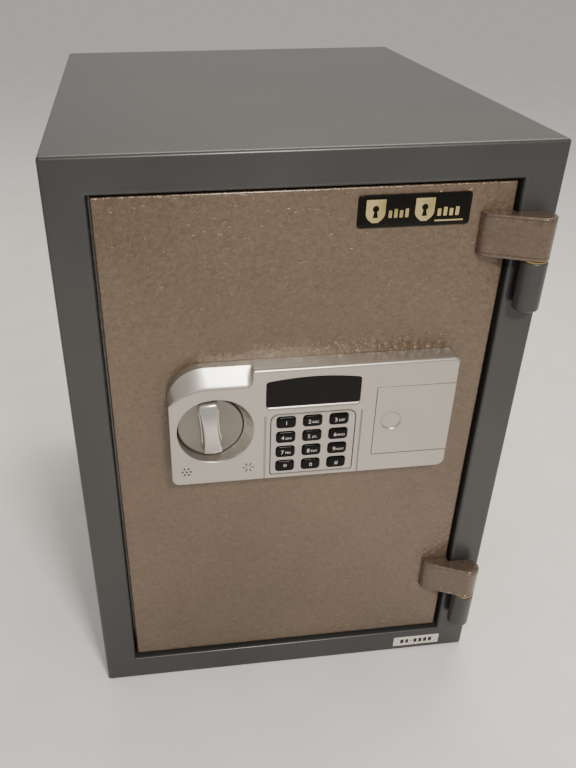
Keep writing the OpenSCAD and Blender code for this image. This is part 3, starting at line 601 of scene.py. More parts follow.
def solids(node: str) -> list[Box]:
    """Finds the separate solids of a CAD node.

    Args:
        node: The CAD node's name.

    Returns:
        The box of each solid, from the lowest up and then from the left.
    """
    mesh = bmesh.new()
    mesh.from_mesh(frame["nodes"][node].data)
    bmesh.ops.remove_doubles(mesh, verts=mesh.verts, dist=SAME_POINT)
    left, found = set(mesh.verts), []
    while left:
        heap, island = [left.pop()], []
        while heap:
            vertex = heap.pop()
            island.append(vertex.co / MM)
            near = {edge.other_vert(vertex) for edge in vertex.link_edges} & left
            left -= near
            heap.extend(near)
        found.append(Box.round(island))
    mesh.free()
    return sorted(found, key=lambda box: (round(box.low.z), box.low.x))


def pivot(joint: str) -> Vector:
    """Returns the point that a joint turns about, in millimetres."""
    return next(Vector(found["pos_m"]) / MM for found in frame["joints"] if found["name"] == joint)


def corners_of(node: str, cut: float = 0.0) -> tuple[Point, Point]:
    """Returns the lower left and upper right corners of a CAD node's front, moved in by cut."""
    box = Box.of(node)
    return (box.low.x + cut, box.low.z + cut), (box.high.x - cut, box.high.z - cut)


def rounded(low: Point, high: Point, radii: Sequence[float], steps: int = 8) -> list[Point]:
    """Makes a rectangle with round corners.

    Args:
        low: Lower left corner.
        high: Upper right corner.
        radii: The corners' radii, anticlockwise from the lower left.
        steps: Stretches in each corner.

    Returns:
        The outline, anticlockwise.
    """
    (x0, z0), (x1, z1), least = low, high, 0.05
    corners = [(x0, z0, 1, 1, 180), (x1, z0, -1, 1, 270), (x1, z1, -1, -1, 0), (x0, z1, 1, -1, 90)]
    points = []
    for (x, z, sx, sz, start), radius in zip(corners, radii, strict=True):
        radius = max(radius, least)
        for i in range(steps + 1):
            angle = math.radians(start + 90 * i / steps)
            points.append((x + radius * (sx + math.cos(angle)), z + radius * (sz + math.sin(angle))))
    return points


def inset(points: Sequence[Point], depth: float) -> list[Point]:
    """Moves an anticlockwise outline inwards.

    Args:
        points: The outline.
        depth: How far each side moves in.

    Returns:
        The new outline, with as many points.
    """
    moved = []
    for i, (x, z) in enumerate(points):
        before, after = points[i - 1], points[(i + 1) % len(points)]
        first = Vector((x - before[0], z - before[1])).normalized()
        second = Vector((after[0] - x, after[1] - z)).normalized()
        # points that coincide take the direction of their neighbours
        first, second = first if first.length else second, second if second.length else first
        normal = Vector((-first.y - second.y, first.x + second.x))
        normal *= 2 * depth / max(normal.length_squared, 1.0)
        moved.append((x + normal.x, z + normal.y))
    return moved


def upright(points: Iterable[Point], y: float) -> Ring:
    """Stands an outline drawn in X and Z at a depth."""
    return [Vector((x, y, z)) for x, z in points]


def level(points: Iterable[Point], z: float) -> Ring:
    """Lays an outline drawn in X and Y at a height."""
    return [Vector((x, y, z)) for x, y in points]


def quarter(radius: float, steps: int = 4) -> list[Point]:
    """Steps of a round edge: how far in and how far from the face, from the side to the face."""
    turns = [math.radians(90 * i / steps) for i in range(steps + 1)]
    return [(radius * (1 - math.cos(t)), radius * (1 - math.sin(t))) for t in turns]


def link(name: str, data: bpy.types.ID) -> Piece:
    """Puts data into the scene as an object.

    Args:
        name: The object's name.
        data: Its mesh, curve, lamp or camera.

    Returns:
        The new object.
    """
    made = bpy.data.objects.new(name, data)
    bpy.context.scene.collection.objects.link(made)
    return made


def discard(*pieces: Piece) -> None:
    """Removes pieces that are used up, by removing the meshes that they show."""
    for data in [piece.data for piece in pieces]:
        bpy.data.meshes.remove(data)


def make(name: str, mesh: bmesh.types.BMesh) -> Piece:
    """Merges what coincides, turns the faces outwards and links the mesh as an object.

    Args:
        name: The piece's name.
        mesh: The mesh in metres, freed here.

    Returns:
        The new object, at the origin.
    """
    bmesh.ops.remove_doubles(mesh, verts=mesh.verts, dist=2 * SAME_POINT)
    bmesh.ops.recalc_face_normals(mesh, faces=mesh.faces)
    data = bpy.data.meshes.new(name)
    mesh.to_mesh(data)
    mesh.free()
    return link(name, data)


def loft(name: str, rings: Sequence[Ring], closed: bool = False) -> Piece:
    """Joins rings of points into a solid.

    Args:
        name: The piece's name.
        rings: Loops with the same number of points, in millimetres.
        closed: True if the last ring joins the first, as round an opening.

    Returns:
        The new object.
    """
    mesh = bmesh.new()
    rows = [[mesh.verts.new(point * MM) for point in ring] for ring in rings]
    pairs = list(zip(rows, rows[1:], strict=False)) + ([(rows[-1], rows[0])] if closed else [])
    for one, two in pairs:
        for i in range(len(one)):
            j = (i + 1) % len(one)
            mesh.faces.new((one[i], one[j], two[j], two[i]))
    if not closed:
        mesh.faces.new(rows[0])
        mesh.faces.new(rows[-1])
    return make(name, mesh)


def lathe(
    name: str, profile: Sequence[Point], place: Matrix, steps: int = 72, closed: bool = False
) -> Piece:
    """Turns a profile round an axis.

    Args:
        name: The piece's name.
        profile: Points as distance from the axis and place along it, in millimetres.
        place: Puts the axis, which is local Z, in the frame.
        steps: Faces round the axis.
        closed: True if the profile's last point joins its first, as on a tube.

    Returns:
        The new object.
    """
    turns = [2 * math.pi * i / steps for i in range(steps)]
    rings = [[place @ Vector((r * math.cos(t), r * math.sin(t), h)) for t in turns] for r, h in profile]
    return loft(name, rings, closed)


def drill(radius: float, reach: float, place: Matrix, steps: int = 72) -> Piece:
    """Makes a round cutter that reaches equally far either way along local Z."""
    return lathe("drill", [(radius, -reach), (radius, reach)], place, steps)


def facing(x: float, y: float, z: float) -> Matrix:
    """Place of a thing whose local Z points out of the safe's front and local Y points up."""
    return Matrix(((1, 0, 0, x), (0, 0, -1, y), (0, 1, 0, z), (0, 0, 0, 1)))


def along_x(x: float, y: float, z: float) -> Matrix:
    """Place of a thing whose local Z points along X."""
    return Matrix(((0, 0, 1, x), (1, 0, 0, y), (0, 1, 0, z), (0, 0, 0, 1)))


def bake(piece: Piece) -> Piece:
    """Turns a piece's modifiers into its mesh.

    Args:
        piece: The piece with its modifiers.

    Returns:
        The same piece with a plain mesh.
    """
    graph = bpy.context.evaluated_depsgraph_get()
    data = bpy.data.meshes.new_from_object(piece.evaluated_get(graph))
    old = piece.data
    piece.modifiers.clear()
    piece.data = data
    data.name = piece.name
    bpy.data.meshes.remove(old)
    return piece


def combine(piece: Piece, others: Sequence[Piece], operation: str = "DIFFERENCE") -> Piece:
    """Cuts other solids out of a piece, or joins them to it, and removes them.

    Args:
        piece: The solid that is worked on.
        others: The cutters or additions.
        operation: DIFFERENCE or UNION.

    Returns:
        The piece.
    """
    for other in others:
        cut = piece.modifiers.new("cut", "BOOLEAN")
        cut.operation, cut.object, cut.solver = operation, other, "EXACT"
    bake(piece)
    discard(*others)
    return piece


def soften(name: str, node: str, width: float, segments: int = 2) -> Piece:
    """Copies a CAD node with its flat faces made whole and its sharp edges rounded.

    Args:
        name: The new piece's name.
        node: The CAD node.
        width: Width of the rounding in millimetres.
        segments: Steps in the rounding.

    Returns:
        The new piece.
    """
    mesh = bmesh.new()
    mesh.from_mesh(frame["nodes"][node].data)
    bmesh.ops.remove_doubles(mesh, verts=mesh.verts, dist=SAME_POINT)
    bmesh.ops.dissolve_limit(mesh, angle_limit=FLAT_ANGLE, verts=mesh.verts, edges=mesh.edges)
    piece = make(name, mesh)
    edge = piece.modifiers.new("round", "BEVEL")
    edge.width, edge.segments = width * MM, segments
    edge.limit_method, edge.angle_limit = "ANGLE", SHARP_ANGLE
    return bake(piece)


def finish_piece(
    piece: Piece, body: str, slot: str, finish: Finish | None = None, replaces: Sequence[str] = ()
) -> Piece:
    """Shades a piece, dresses it and hangs it on its body.

    Args:
        piece: The finished mesh.
        body: The CAD body it moves with.
        slot: The record's material slot.
        finish: The finish, where it isn't the slot's own.
        replaces: CAD nodes that it stands for.

    Returns:
        The piece.
    """
    piece.data.materials.clear()
    piece.data.materials.append(material(finish or SLOTS[slot]))
    piece.data.shade_smooth()
    piece.data.set_sharp_from_angle(angle=SHARP_ANGLE)
    weighted = piece.modifiers.new("normals", "WEIGHTED_NORMAL")
    weighted.keep_sharp = True
    bake(piece)
    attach(piece, body)
    if replaces:
        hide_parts(*replaces)
    LOG.info("%s: %d faces on %s", piece.name, len(piece.data.polygons), body)
    return piece


class Softened(NamedTuple):
    """A piece that is its CAD node with soft edges.

    Attributes:
        name: The piece's name.
        node: The CAD node.
        body: The CAD body it moves with.
        slot: The record's material slot.
        width: Width of the rounding in millimetres.
    """

    name: str
    node: str
    body: str
    slot: str
    width: float

    def build(self) -> None:
        """Makes and finishes the piece."""
        finish_piece(soften(self.name, self.node, self.width), self.body, self.slot, replaces=[self.node])


def plate(
    name: str, low: Point, high: Point, radius: float, steps: Sequence[Point], fine: int = 8
) -> Piece:
    """Makes a plate with round corners whose outline shrinks from face to face.

    Args:
        name: The piece's name.
        low: Lower left corner, X and Z.
        high: Upper right corner.
        radius: Radius of the corners.
        steps: Insets, each with its Y.
        fine: Stretches in each corner.

    Returns:
        The new object.
    """
    rings = []
    for cut, y in steps:
        corners = (low[0] + cut, low[1] + cut), (high[0] - cut, high[1] - cut)
        rings.append(upright(rounded(*corners, [radius - cut] * 4, fine), y))
    return loft(name, rings)


def merge(name: str, pieces: Sequence[Piece]) -> Piece:
    """Joins separate solids into one piece.

    Args:
        name: The name of the result.
        pieces: The solids, which are removed.

    Returns:
        The new object.
    """
    mesh = bmesh.new()
    for piece in pieces:
        mesh.from_mesh(piece.data)
    discard(*pieces)
    return make(name, mesh)


def flat_text(name: str, letters: str, size: float, place: Matrix, depth: float) -> Piece:
    """Prints letters as a thin solid.

    Args:
        name: The piece's name.
        letters: The text.
        size: Height of the type's body in millimetres.
        place: Puts local X and Y, with Z outwards, in the frame.
        depth: Thickness of the print.

    Returns:
        The new object.
    """
    curve = bpy.data.curves.new(name, "FONT")
    curve.body, curve.size, curve.extrude = letters, size, depth / 2
    curve.align_x = curve.align_y = "CENTER"
    curve.resolution_u = 3
    source = link(name + "_curve", curve)
    graph = bpy.context.evaluated_depsgraph_get()
    data = bpy.data.meshes.new_from_object(source.evaluated_get(graph))
    bpy.data.curves.remove(curve)
    data.transform(Matrix.Scale(MM, 4) @ place)
    mesh = bmesh.new()
    mesh.from_mesh(data)
    bpy.data.meshes.remove(data)
    return make(name, mesh)


@dataclass(frozen=True)
class Pattern:
    """A Geometry Nodes tree that puts copies of a solid where a rule says.

    Attributes:
        name: The tree's name.
        inputs: Named inputs with their values, in metres and radians; an int makes a whole number.
    """

    name: str
    inputs: dict[str, float]

    def start(self) -> tuple[Tree, dict[str, Socket]]:
        """Makes the tree with its named inputs.

        Returns:
            The tree and the outputs that carry the inputs.
        """
        tree = bpy.data.node_groups.new(self.name, "GeometryNodeTree")
        for way in ("INPUT", "OUTPUT"):
            tree.interface.new_socket("Geometry", in_out=way, socket_type="NodeSocketGeometry")
        for label, value in self.inputs.items():
            kind = "NodeSocketInt" if isinstance(value, int) else "NodeSocketFloat"
            tree.interface.new_socket(label, in_out="INPUT", socket_type=kind)
        given = add_node(tree, "NodeGroupInput")
        return tree, {label: given.outputs[label] for label in ("Geometry", *self.inputs)}

    def run(self, tree: Tree, copies: Node, base: Piece, finish: Finish) -> Piece:
        """Ends the tree, runs it on the base piece and keeps the plain mesh.

        Args:
            tree: The tree made by start.
            copies: The node with the instances.
            base: The object that carries the modifier.
            finish: The finish that the tree sets.

        Returns:
            The base piece with its new mesh.
        """
        real = add_node(tree, "GeometryNodeRealizeInstances", {"Geometry": copies})
        dress = {"Geometry": real, "Material": material(finish)}
        add_node(tree, "NodeGroupOutput", {0: add_node(tree, "GeometryNodeSetMaterial", dress)})
        modifier = base.modifiers.new(self.name, "NODES")
        modifier.node_group = tree
        for item in tree.interface.items_tree:
            if item.in_out == "INPUT" and item.name in self.inputs:
                modifier[item.identifier] = self.inputs[item.name]
        return bake(base)


def copies_at(name: str, form: Piece, spots: Sequence[Vector], finish: Finish) -> Piece:
    """Puts a copy of a solid made round the origin at each spot.

    Args:
        name: The new piece's name.
        form: The solid, which is removed.
        spots: Places in millimetres.
        finish: The copies' finish.

    Returns:
        The new piece.
    """
    data = bpy.data.meshes.new(name)
    data.from_pydata([spot * MM for spot in spots], [], [])
    base = link(name, data)
    pattern = Pattern(name + "_copies", {"Size": 1.0})
    tree, given = pattern.start()
    solid = add_node(tree, "GeometryNodeObjectInfo", {"Object": form}).outputs["Geometry"]
    spread = {"Points": given["Geometry"], "Instance": solid, "Scale": given["Size"]}
    pattern.run(tree, add_node(tree, "GeometryNodeInstanceOnPoints", spread), base, finish)
    discard(form)
    return base


def ring_of(name: str, form: Piece, count: int, radius: float, place: Matrix, finish: Finish) -> Piece:
    """Puts copies of a solid made round the origin on a circle, each turned with it.

    Args:
        name: The new piece's name.
        form: The solid, with its length along local X, which is removed.
        count: How many copies there are.
        radius: Radius of the circle in millimetres.
        place: Puts the circle, which lies in local XY, in the frame.
        finish: The copies' finish.

    Returns:
        The new piece.
    """
    base = link(name, bpy.data.meshes.new(name))
    pattern = Pattern(name + "_ring", {"Count": count, "Radius": radius * MM, "Turn": 2 * math.pi / count})
    tree, given = pattern.start()
    circle = {"Vertices": given["Count"], "Radius": given["Radius"]}
    index = add_node(tree, "GeometryNodeInputIndex")
    angle = add_node(tree, MATHS, {0: index, 1: given["Turn"]}, operation="MULTIPLY")
    solid = add_node(tree, "GeometryNodeObjectInfo", {"Object": form}).outputs["Geometry"]
    spread = {
        "Points": add_node(tree, "GeometryNodeMeshCircle", circle),
        "Instance": solid,
        "Rotation": add_node(tree, "ShaderNodeCombineXYZ", {"Z": angle}),
    }
    pattern.run(tree, add_node(tree, "GeometryNodeInstanceOnPoints", spread), base, finish)
    base.data.transform(Matrix.Translation(place.translation * MM) @ place.to_3x3().to_4x4())
    discard(form)
    return base


def screw(name: str, radius: float, height: float, stem: float) -> Piece:
    """Makes a cross-recessed pan head that faces +Y, with the start of its stem.

    Args:
        name: The piece's name.
        radius: Radius of the head.
        height: Height of the head.
        stem: Radius of the stem.

    Returns:
        The screw round the origin, its seat at Y = 0.
    """
    place = Matrix(((1, 0, 0, 0), (0, 0, 1, 0), (0, -1, 0, 0), (0, 0, 0, 1)))
    stub, rim = 2.0, 0.35
    dome = [
        (radius * math.sin(t), height * (rim + (1 - rim) * math.cos(t)))
        for t in (1.57, 1.3, 1.0, 0.7, 0.35, 0.02)
    ]
    profile = [(AXIS, -stub), (stem, -stub), (stem, 0.0), (radius, 0.0), *dome]
    head = lathe(name, profile, place, 32)
    arms = []
    for long, short in ((0.55, 0.12), (0.12, 0.55)):
        low, high = (-radius * long, -radius * short), (radius * long, radius * short)
        arms.append(plate("arm", low, high, 0.1, [(0.25, height * 0.45), (0.0, height + 1)], 1))
    return combine(head, [combine(arms[0], arms[1:], "UNION")])


# ---- body ----------------------------------------------------------------------------------


@dataclass
class Casing:
    """Outer steel sheet with its front frame, the back panel and the sticker.

    Attributes:
        edge: Radius of the casing's bends.
        sheet: Thickness of the sheet.
        mouth: Radius of the bend round the door opening.
        fold: Depth of the fold behind the front.
        side: Width of the frame beside the opening.
        end: Width of the frame above and below it.
        back_in: Width of the flange that holds the back panel.
        back_gap: Gap between that flange and the panel.
        bars: Widths of the bars printed on the sticker.
        bar_gap: Distance between them.
    """

    edge: float = 2.6
    sheet: float = 1.5
    mouth: float = 2.4
    fold: float = 23.5
    side: float = 28.5
    end: float = 26.0
    back_in: float = 12.0
    back_gap: float = 0.4
    bars: tuple[float, ...] = (3.6, 3.2, 2.0, 3.4, 3.4, 3.4, 3.4)
    bar_gap: float = 1.7

    def outline(self, cut: float, y: float) -> Ring:
        """Returns the casing's outline at a depth, moved in by cut."""
        return upright(rounded(*corners_of("outer_casing", cut), [self.edge - cut] * 4, 6), y)

    def mouth_outline(self, grow: float, y: float) -> Ring:
        """Draws the door opening.

        Args:
            grow: How far the outline is moved outwards.
            y: Its depth.

        Returns:
            The outline.
        """
        box = Box.of("outer_casing")
        x, z0, z1 = box.high.x - self.side + grow, self.end - grow, box.high.z - self.end + grow
        return upright(rounded((-x, z0), (x, z1), [0.8 + grow * 0.5] * 4, 6), y)

    def shell(self) -> Piece:
        """Builds the sheet as one closed wall from the back flange to the fold round the door.

        Returns:
            The shell.
        """
        front, back = Box.of("outer_casing").low.y, Box.of("back_panel").high.y
        bends = quarter(self.edge, 6)
        rings = [self.outline(self.back_in, back)]
        rings += [self.outline(cut, back - fall) for cut, fall in reversed(bends)]
        rings += [self.outline(cut, front + fall) for cut, fall in bends]
        rings += [self.mouth_outline(fall, front + cut) for cut, fall in quarter(self.mouth, 5)]
        inner, lip = front + self.sheet, 1.2
        rings += [self.mouth_outline(grow, front + self.fold) for grow in (0.0, self.sheet)]
        rings += [self.mouth_outline(self.sheet + lip, inner), self.outline(self.sheet, inner)]
        rings += [self.outline(cut, back - self.sheet) for cut in (self.sheet, self.back_in)]
        return loft("casing_shell", rings, closed=True)

    def back(self) -> Piece:
        """Builds the back panel, let in to the flange, with a shallow pressed border.

        Returns:
            The panel.
        """
        y = Box.of("back_panel").high.y
        steps = [(0.0, 1.5), (0.0, 0.7), (0.3, 0.2), (0.8, 0.0)]
        steps += [(14.0, 0.0), (15.0, 0.25), (17.0, 1.0), (18.5, 1.2), (140.0, 1.2)]
        low, high = corners_of("back_panel", self.back_in + self.back_gap)
        return plate("back_panel_pressed", low, high, 3.0, [(cut, y - deep) for cut, deep in steps], 6)

    def sticker(self) -> tuple[Piece, Piece]:
        """Builds the blank sticker and the plain bars printed on it.

        Returns:
            The film and the bars.
        """
        box, margin, dash = Box.of("frame_label"), 7.0, 2
        y, x, z = box.low.y, box.low.x + margin, box.middle.z
        rim = [(0.0, y + 0.3), (0.0, y + 0.08), (0.1, y)]
        film = plate("sticker_film", *corners_of("frame_label"), 1.0, rim, 4)
        made = []
        for i, width in enumerate(self.bars):
            half = 0.5 if i == dash else 2.6
            low, high = (x, z - half), (x + width, z + half)
            made.append(plate("bar", low, high, 0.3, [(0.0, y + 0.02), (0.0, y - 0.05)], 2))
            x += width + self.bar_gap
        return film, merge("sticker_bars", made)

    def build(self) -> None:
        """Makes the casing's pieces."""
        finish_piece(self.shell(), "safe_body", "body_paint", replaces=["outer_casing"])
        finish_piece(self.back(), "safe_body", "body_paint", replaces=["back_panel"])
        film, bars = self.sticker()
        finish_piece(film, "safe_body", "label_film", replaces=["frame_label"])
        finish_piece(bars, "safe_body", "label_film", Finish.DARK_INK)


@dataclass
class Hinges:
    """Fixed knuckles with their feet, the pins and the door's straps.

    Attributes:
        knuckle: Radius of the knuckles.
        pin: Radius of the pins.
        play: Gap round a pin in its strap.
        bore_share: How far a pin goes up into its strap, as a share of the strap's height.
        lip: Radius of the knuckles' round ends.
        foot: Half the width of a knuckle's foot.
        weld: How far the foot widens at the frame.
        tip: Distance from the axis to the strap's tip.
        slant: Fall of the strap's front over its length.
        round_edge: Radius of the strap's edges.
        groove: Depth of the pressed line near each end of a strap.
    """

    knuckle: float = 9.8
    pin: float = 4.0
    play: float = 0.05
    bore_share: float = 0.8
    lip: float = 1.3
    foot: float = 3.0
    weld: float = 1.6
    tip: float = 40.0
    slant: Point = (34.0, 12.0)
    round_edge: float = 1.5
    groove: float = 0.45

    def __post_init__(self) -> None:
        """Takes the hinges' axis from the door's joint."""
        self.axis = pivot("door_swing")

    def barrel(self, box: Box) -> Piece:
        """Builds one knuckle and the foot that is welded to the frame.

        Args:
            box: Box of the CAD solid.

        Returns:
            The barrel.
        """
        (x, y, _), z0, tall, ease = self.axis, box.low.z, box.size.z, 0.6
        rim = quarter(self.lip, 4)
        profile = [(self.pin, ease), (self.pin + ease, 0.0), (self.knuckle - self.lip, 0.0)]
        profile += [(self.knuckle - cut, fall) for cut, fall in reversed(rim)]
        profile += [(self.knuckle - cut, tall - fall) for cut, fall in rim]
        profile += [(self.pin + ease, tall), (self.pin, tall - ease)]
        tube = lathe("barrel", profile, Matrix.Translation((x, y, z0)), 64, closed=True)
        low, high = y + self.knuckle / 2, Box.of("outer_casing").low.y
        half, wide = self.foot, self.foot + self.weld
        plan = [(x - half, low), (x + half, low), (x + half, high - self.weld), (x + wide, high)]
        plan += [(x - wide, high), (x - half, high - self.weld)]
        foot = loft("foot", [level(plan, z0 + ease), level(plan, z0 + tall - ease)])
        return combine(tube, [foot], "UNION")

    def plan(self) -> list[Point]:
        """Draws the strap's plan: a round tip on the door, a slanting front and the knuckle.

        Returns:
            The plan, from the door's edge along the face and round to the door again.
        """
        x, y, _ = self.axis
        skin = Box.of("door_skin")
        tip, face, door = x - self.tip, skin.low.y, skin.high.x
        points = [(door, face)]
        start, bend, stop = (Vector((tip + a, face - b)) for a, b in ((0, 0), (0.3, 7.2), (6.6, 9.85)))
        for t in (i / 7 for i in range(8)):
            at = start * (1 - t) ** 2 + bend * 2 * t * (1 - t) + stop * t * t
            points.append((at.x, at.y))
        first, last = math.radians(270) - math.atan2(self.slant[1], self.slant[0]), math.radians(450)
        for t in (first + (last - first) * i / 24 for i in range(25)):
            points.append((x + self.knuckle * math.cos(t), y + self.knuckle * math.sin(t)))
        return [*points, (door, y + self.knuckle)]

    def strap(self, box: Box) -> Piece:
        """Builds one strap with soft ends and a pressed line near each end.

        Args:
            box: Box of the CAD solid.

        Returns:
            The strap.
        """
        z0, z1, outline = box.low.z, box.high.z, self.plan()
        rim = list(reversed(quarter(self.round_edge, 5)))
        rim += [(0.0, 2.0), (self.groove, 2.5), (self.groove, 2.8), (0.0, 3.4)]
        steps = [(cut, z0 + up) for cut, up in rim] + [(cut, z1 - up) for cut, up in reversed(rim)]
        strap = loft("strap", [level(inset(outline, cut), z) for cut, z in steps])
        radius, top = self.pin + self.play, box.size.z * self.bore_share + 0.1
        place = Matrix.Translation((self.axis.x, self.axis.y, z0))
        return combine(strap, [lathe("bore", [(radius, -2.0), (radius, top)], place, 48)])

    def build(self) -> None:
        """Makes the hinges' pieces."""
        barrels = merge("hinge_knuckles", [self.barrel(box) for box in solids("hinge_barrels")])
        finish_piece(barrels, "safe_body", "body_paint", replaces=["hinge_barrels"])
        straps = merge("hinge_straps_pressed", [self.strap(box) for box in solids("hinge_straps")])
        # the straps take the door's enamel with its colour painted darker, as painted shade
        finish_piece(straps, "door", "door_paint", Finish.STRAP_PAINT, ["hinge_straps"])
        Softened("hinge_pins_turned", "hinge_pins", "safe_body", "bright_steel", 0.5).build()


@dataclass
class Interior:
    """Liner, jamb, seal, shelf and felt mat.

    Attributes:
        wave: Height of the mat's unevenness.
        columns: Stretches of the mat's mesh across.
        rows: Stretches of the mat's mesh along.
        folded: The pieces that are their CAD nodes with soft edges.
    """

    wave: float = 0.35
    columns: int = 62
    rows: int = 76
    folded: tuple[Softened, ...] = (
        Softened("jamb_folded", "door_jamb", "safe_body", "zinc_steel", 0.5),
        Softened("liner_folded", "inner_liner", "safe_body", "liner_paint", 0.4),
        Softened("seal_strip", "fire_seal", "safe_body", "seal_strip", 0.5),
        Softened("shelf_folded", "shelf", "safe_body", "liner_paint", 0.45),
        Softened("shelf_pegs_turned", "shelf_pegs", "safe_body", "bright_steel", 0.5),
    )

    def mat(self) -> Piece:
        """Builds the felt mat as a closed sheet whose top is a little uneven.

        Returns:
            The mat.
        """
        box = Box.of("floor_mat")
        mesh = bmesh.new()

        def grid(top: bool) -> list[list[bmesh.types.BMVert]]:
            """Lays one face of the mat.

            Args:
                top: True for the upper face, which waves and falls at its borders.

            Returns:
                The rows of its points.
            """
            made = []
            for j in range(self.rows + 1):
                made.append([])
                for i in range(self.columns + 1):
                    x = box.low.x + box.size.x * i / self.columns
                    y = box.low.y + box.size.y * j / self.rows
                    z = box.low.z + 0.05
                    if top:
                        rise = math.sin(x / 23) * math.cos(y / 31) + math.sin(x / 9 + y / 13) * 0.3
                        edge = min(i, self.columns - i, j, self.rows - j) / 2
                        z = box.high.z - 0.5 + self.wave * rise - 0.7 * max(0.0, 1 - edge)
                    made[-1].append(mesh.verts.new(Vector((x, y, z)) * MM))
            return made

        under, over = grid(False), grid(True)
        for j in range(self.rows):
            for i in range(self.columns):
                for one in (under, over):
                    mesh.faces.new((one[j][i], one[j][i + 1], one[j + 1][i + 1], one[j + 1][i]))
        for j in range(self.rows):
            for i in (0, self.columns):
                mesh.faces.new((under[j][i], under[j + 1][i], over[j + 1][i], over[j][i]))
        for i in range(self.columns):
            for j in (0, self.rows):
                mesh.faces.new((under[j][i], under[j][i + 1], over[j][i + 1], over[j][i]))
        return make("felt_mat", mesh)

    def build(self) -> None:
        """Makes the pieces that show when the door is open."""
        for piece in self.folded:
            piece.build()
        mat = finish_piece(self.mat(), "safe_body", "felt", replaces=["floor_mat"])
        size = Box.of("floor_mat").size * MM


# ---- door ----------------------------------------------------------------------------------


@dataclass
class Door:
    """Steel pan with its hammer-finish face, the badge, the tray and the inner cover.

    Attributes:
        edge: Radius of the pan's bends.
        wall: Thickness of its sides.
        skin: Thickness of its face.
        bearing_hole: Radius of the hole for the knob's bearing.
        cable_hole: Radius of the hole for the lock's cable.
        badge_radius: Radius of the badge's corners.
        shields: Distances of the shields from the badge's left end.
        shield_size: Half a shield's width and height.
        bar_rows: Where each row of bars starts and stops, from the badge's left end.
        bar_count: Bars in a row.
        ribs: Grooves in the inner cover.
        screw_head: Radius and height of the inner cover's screws.
    """

    edge: float = 1.6
    wall: float = 1.5
    skin: float = 2.0
    bearing_hole: float = 7.0
    cable_hole: float = 4.0
    badge_radius: float = 2.5
    shields: Point = (12.5, 48.0)
    shield_size: Point = (7.0, 8.6)
    bar_rows: tuple[Point, ...] = ((22.0, 38.0), (57.5, 75.0))
    bar_count: int = 4
    ribs: int = 5
    screw_head: Point = (3.4, 1.8)

    def pan(self) -> Piece:
        """Builds the pan as one closed wall, open at the back, with the lock's two holes.

        Returns:
            The pan.
        """
        box = Box.of("door_skin")
        front, back = box.low.y, box.high.y
        steps = [(cut, front + fall) for cut, fall in reversed(quarter(self.edge, 5))]
        steps += [(0.0, back), (self.wall, back), (self.wall, front + self.skin)]
        outline = [upright(rounded(*corners_of("door_skin", cut), [1.2] * 4, 4), y) for cut, y in steps]
        cutters = []
        for node, radius in (("knob_bearing", self.bearing_hole), ("cable_grommet", self.cable_hole)):
            middle = Box.of(node).middle
            cutters.append(drill(radius, 20.0, facing(middle.x, front, middle.z)))
        return combine(loft("door_pan", outline), cutters)

    def badge(self) -> tuple[Piece, Piece]:
        """Builds the domed badge and its raised ornament.

        Returns:
            The badge, and the ornament of shields with keyholes, bars and a line.
        """
        box = Box.of("badge")
        x0, y, z = box.low.x, box.low.y, box.middle.z
        dome = [(0.0, box.size.y), (0.0, 1.0), (0.15, 0.6), (0.5, 0.35), (1.2, 0.2)]
        dome += [(3.0, 0.1), (6.0, 0.04), (9.0, 0.01)]
        steps = [(cut, y + deep) for cut, deep in dome]
        plaque = plate("badge_plaque", *corners_of("badge"), self.badge_radius, steps, 6)
        parts = [self.shield(x0 + away, y, z) for away in self.shields]
        relief = [(0.0, y + 0.3), (0.0, y + 0.02), (0.1, y - 0.04)]
        for start, stop in self.bar_rows:
            step = (stop - start) / self.bar_count
            for i in range(self.bar_count):
                left = x0 + start + i * step
                low, high = (left, z - 4.6), (left + step * 0.62, z + (1.6 if i % 2 else 0.6))
                parts.append(plate("bar", low, high, 0.5, relief, 2))
        low, high = (x0 + 56.0, z - 8.4), (x0 + 77.0, z - 7.3)
        parts.append(plate("line", low, high, 0.3, [(0.0, y + 0.4), (0.0, y)], 2))
        return plaque, merge("badge_ornament", parts)

    def shield(self, x: float, y: float, z: float) -> Piece:
        """Builds a shield with a keyhole.

        Args:
            x: Middle across.
            y: Depth of the badge's face.
            z: Middle up.

        Returns:
            The shield.
        """
        half, tall = self.shield_size
        points = [(x - half, z + tall), (x - half, z - tall * 0.1)]
        for t in (i / 8 for i in range(1, 8)):
            points.append((x - half * math.cos(math.pi / 2 * t) ** 0.8, z - tall * (0.1 + 0.9 * t**0.9)))
        points += [(2 * x - px, pz) for px, pz in reversed(points)]
        steps = [(0.0, y + 0.3), (0.0, y), (0.15, y - 0.05)]
        form = loft("shield", [upright(inset(points, cut), deep) for cut, deep in steps])
        hole = drill(half * 0.33, 2.0, facing(x, y, z + tall * 0.25), 24)
        ends = [(x - 1.9, z - 4.2), (x + 1.9, z - 4.2), (x + 0.7, z + 2.0), (x - 0.7, z + 2.0)]
        slot = loft("slot", [upright(ends, y - 2.0), upright(ends, y + 2.0)])
        return combine(form, [combine(hole, [slot], "UNION")])

    def cover(self) -> Piece:
        """Builds the inner cover with a column of moulded grooves across its face.

        Returns:
            The cover.
        """
        box, margin = Box.of("inner_cover"), 45.0
        cover = soften("inner_cover_moulded", "inner_cover", 1.2, 3)
        half = box.size.x / 2 - 26
        groove = plate("groove", (-half, -2.2), (half, 2.2), 2.0, [(0.0, -0.6), (0.0, 1.5)], 4)
        pitch = (box.size.z - 2 * margin) / (self.ribs - 1)
        heights = [box.low.z + margin + pitch * i for i in range(self.ribs)]
        spots = [Vector((box.middle.x, box.high.y, z)) for z in heights]
        return combine(cover, [copies_at("cover_grooves", groove, spots, Finish.DARK_ABS)])

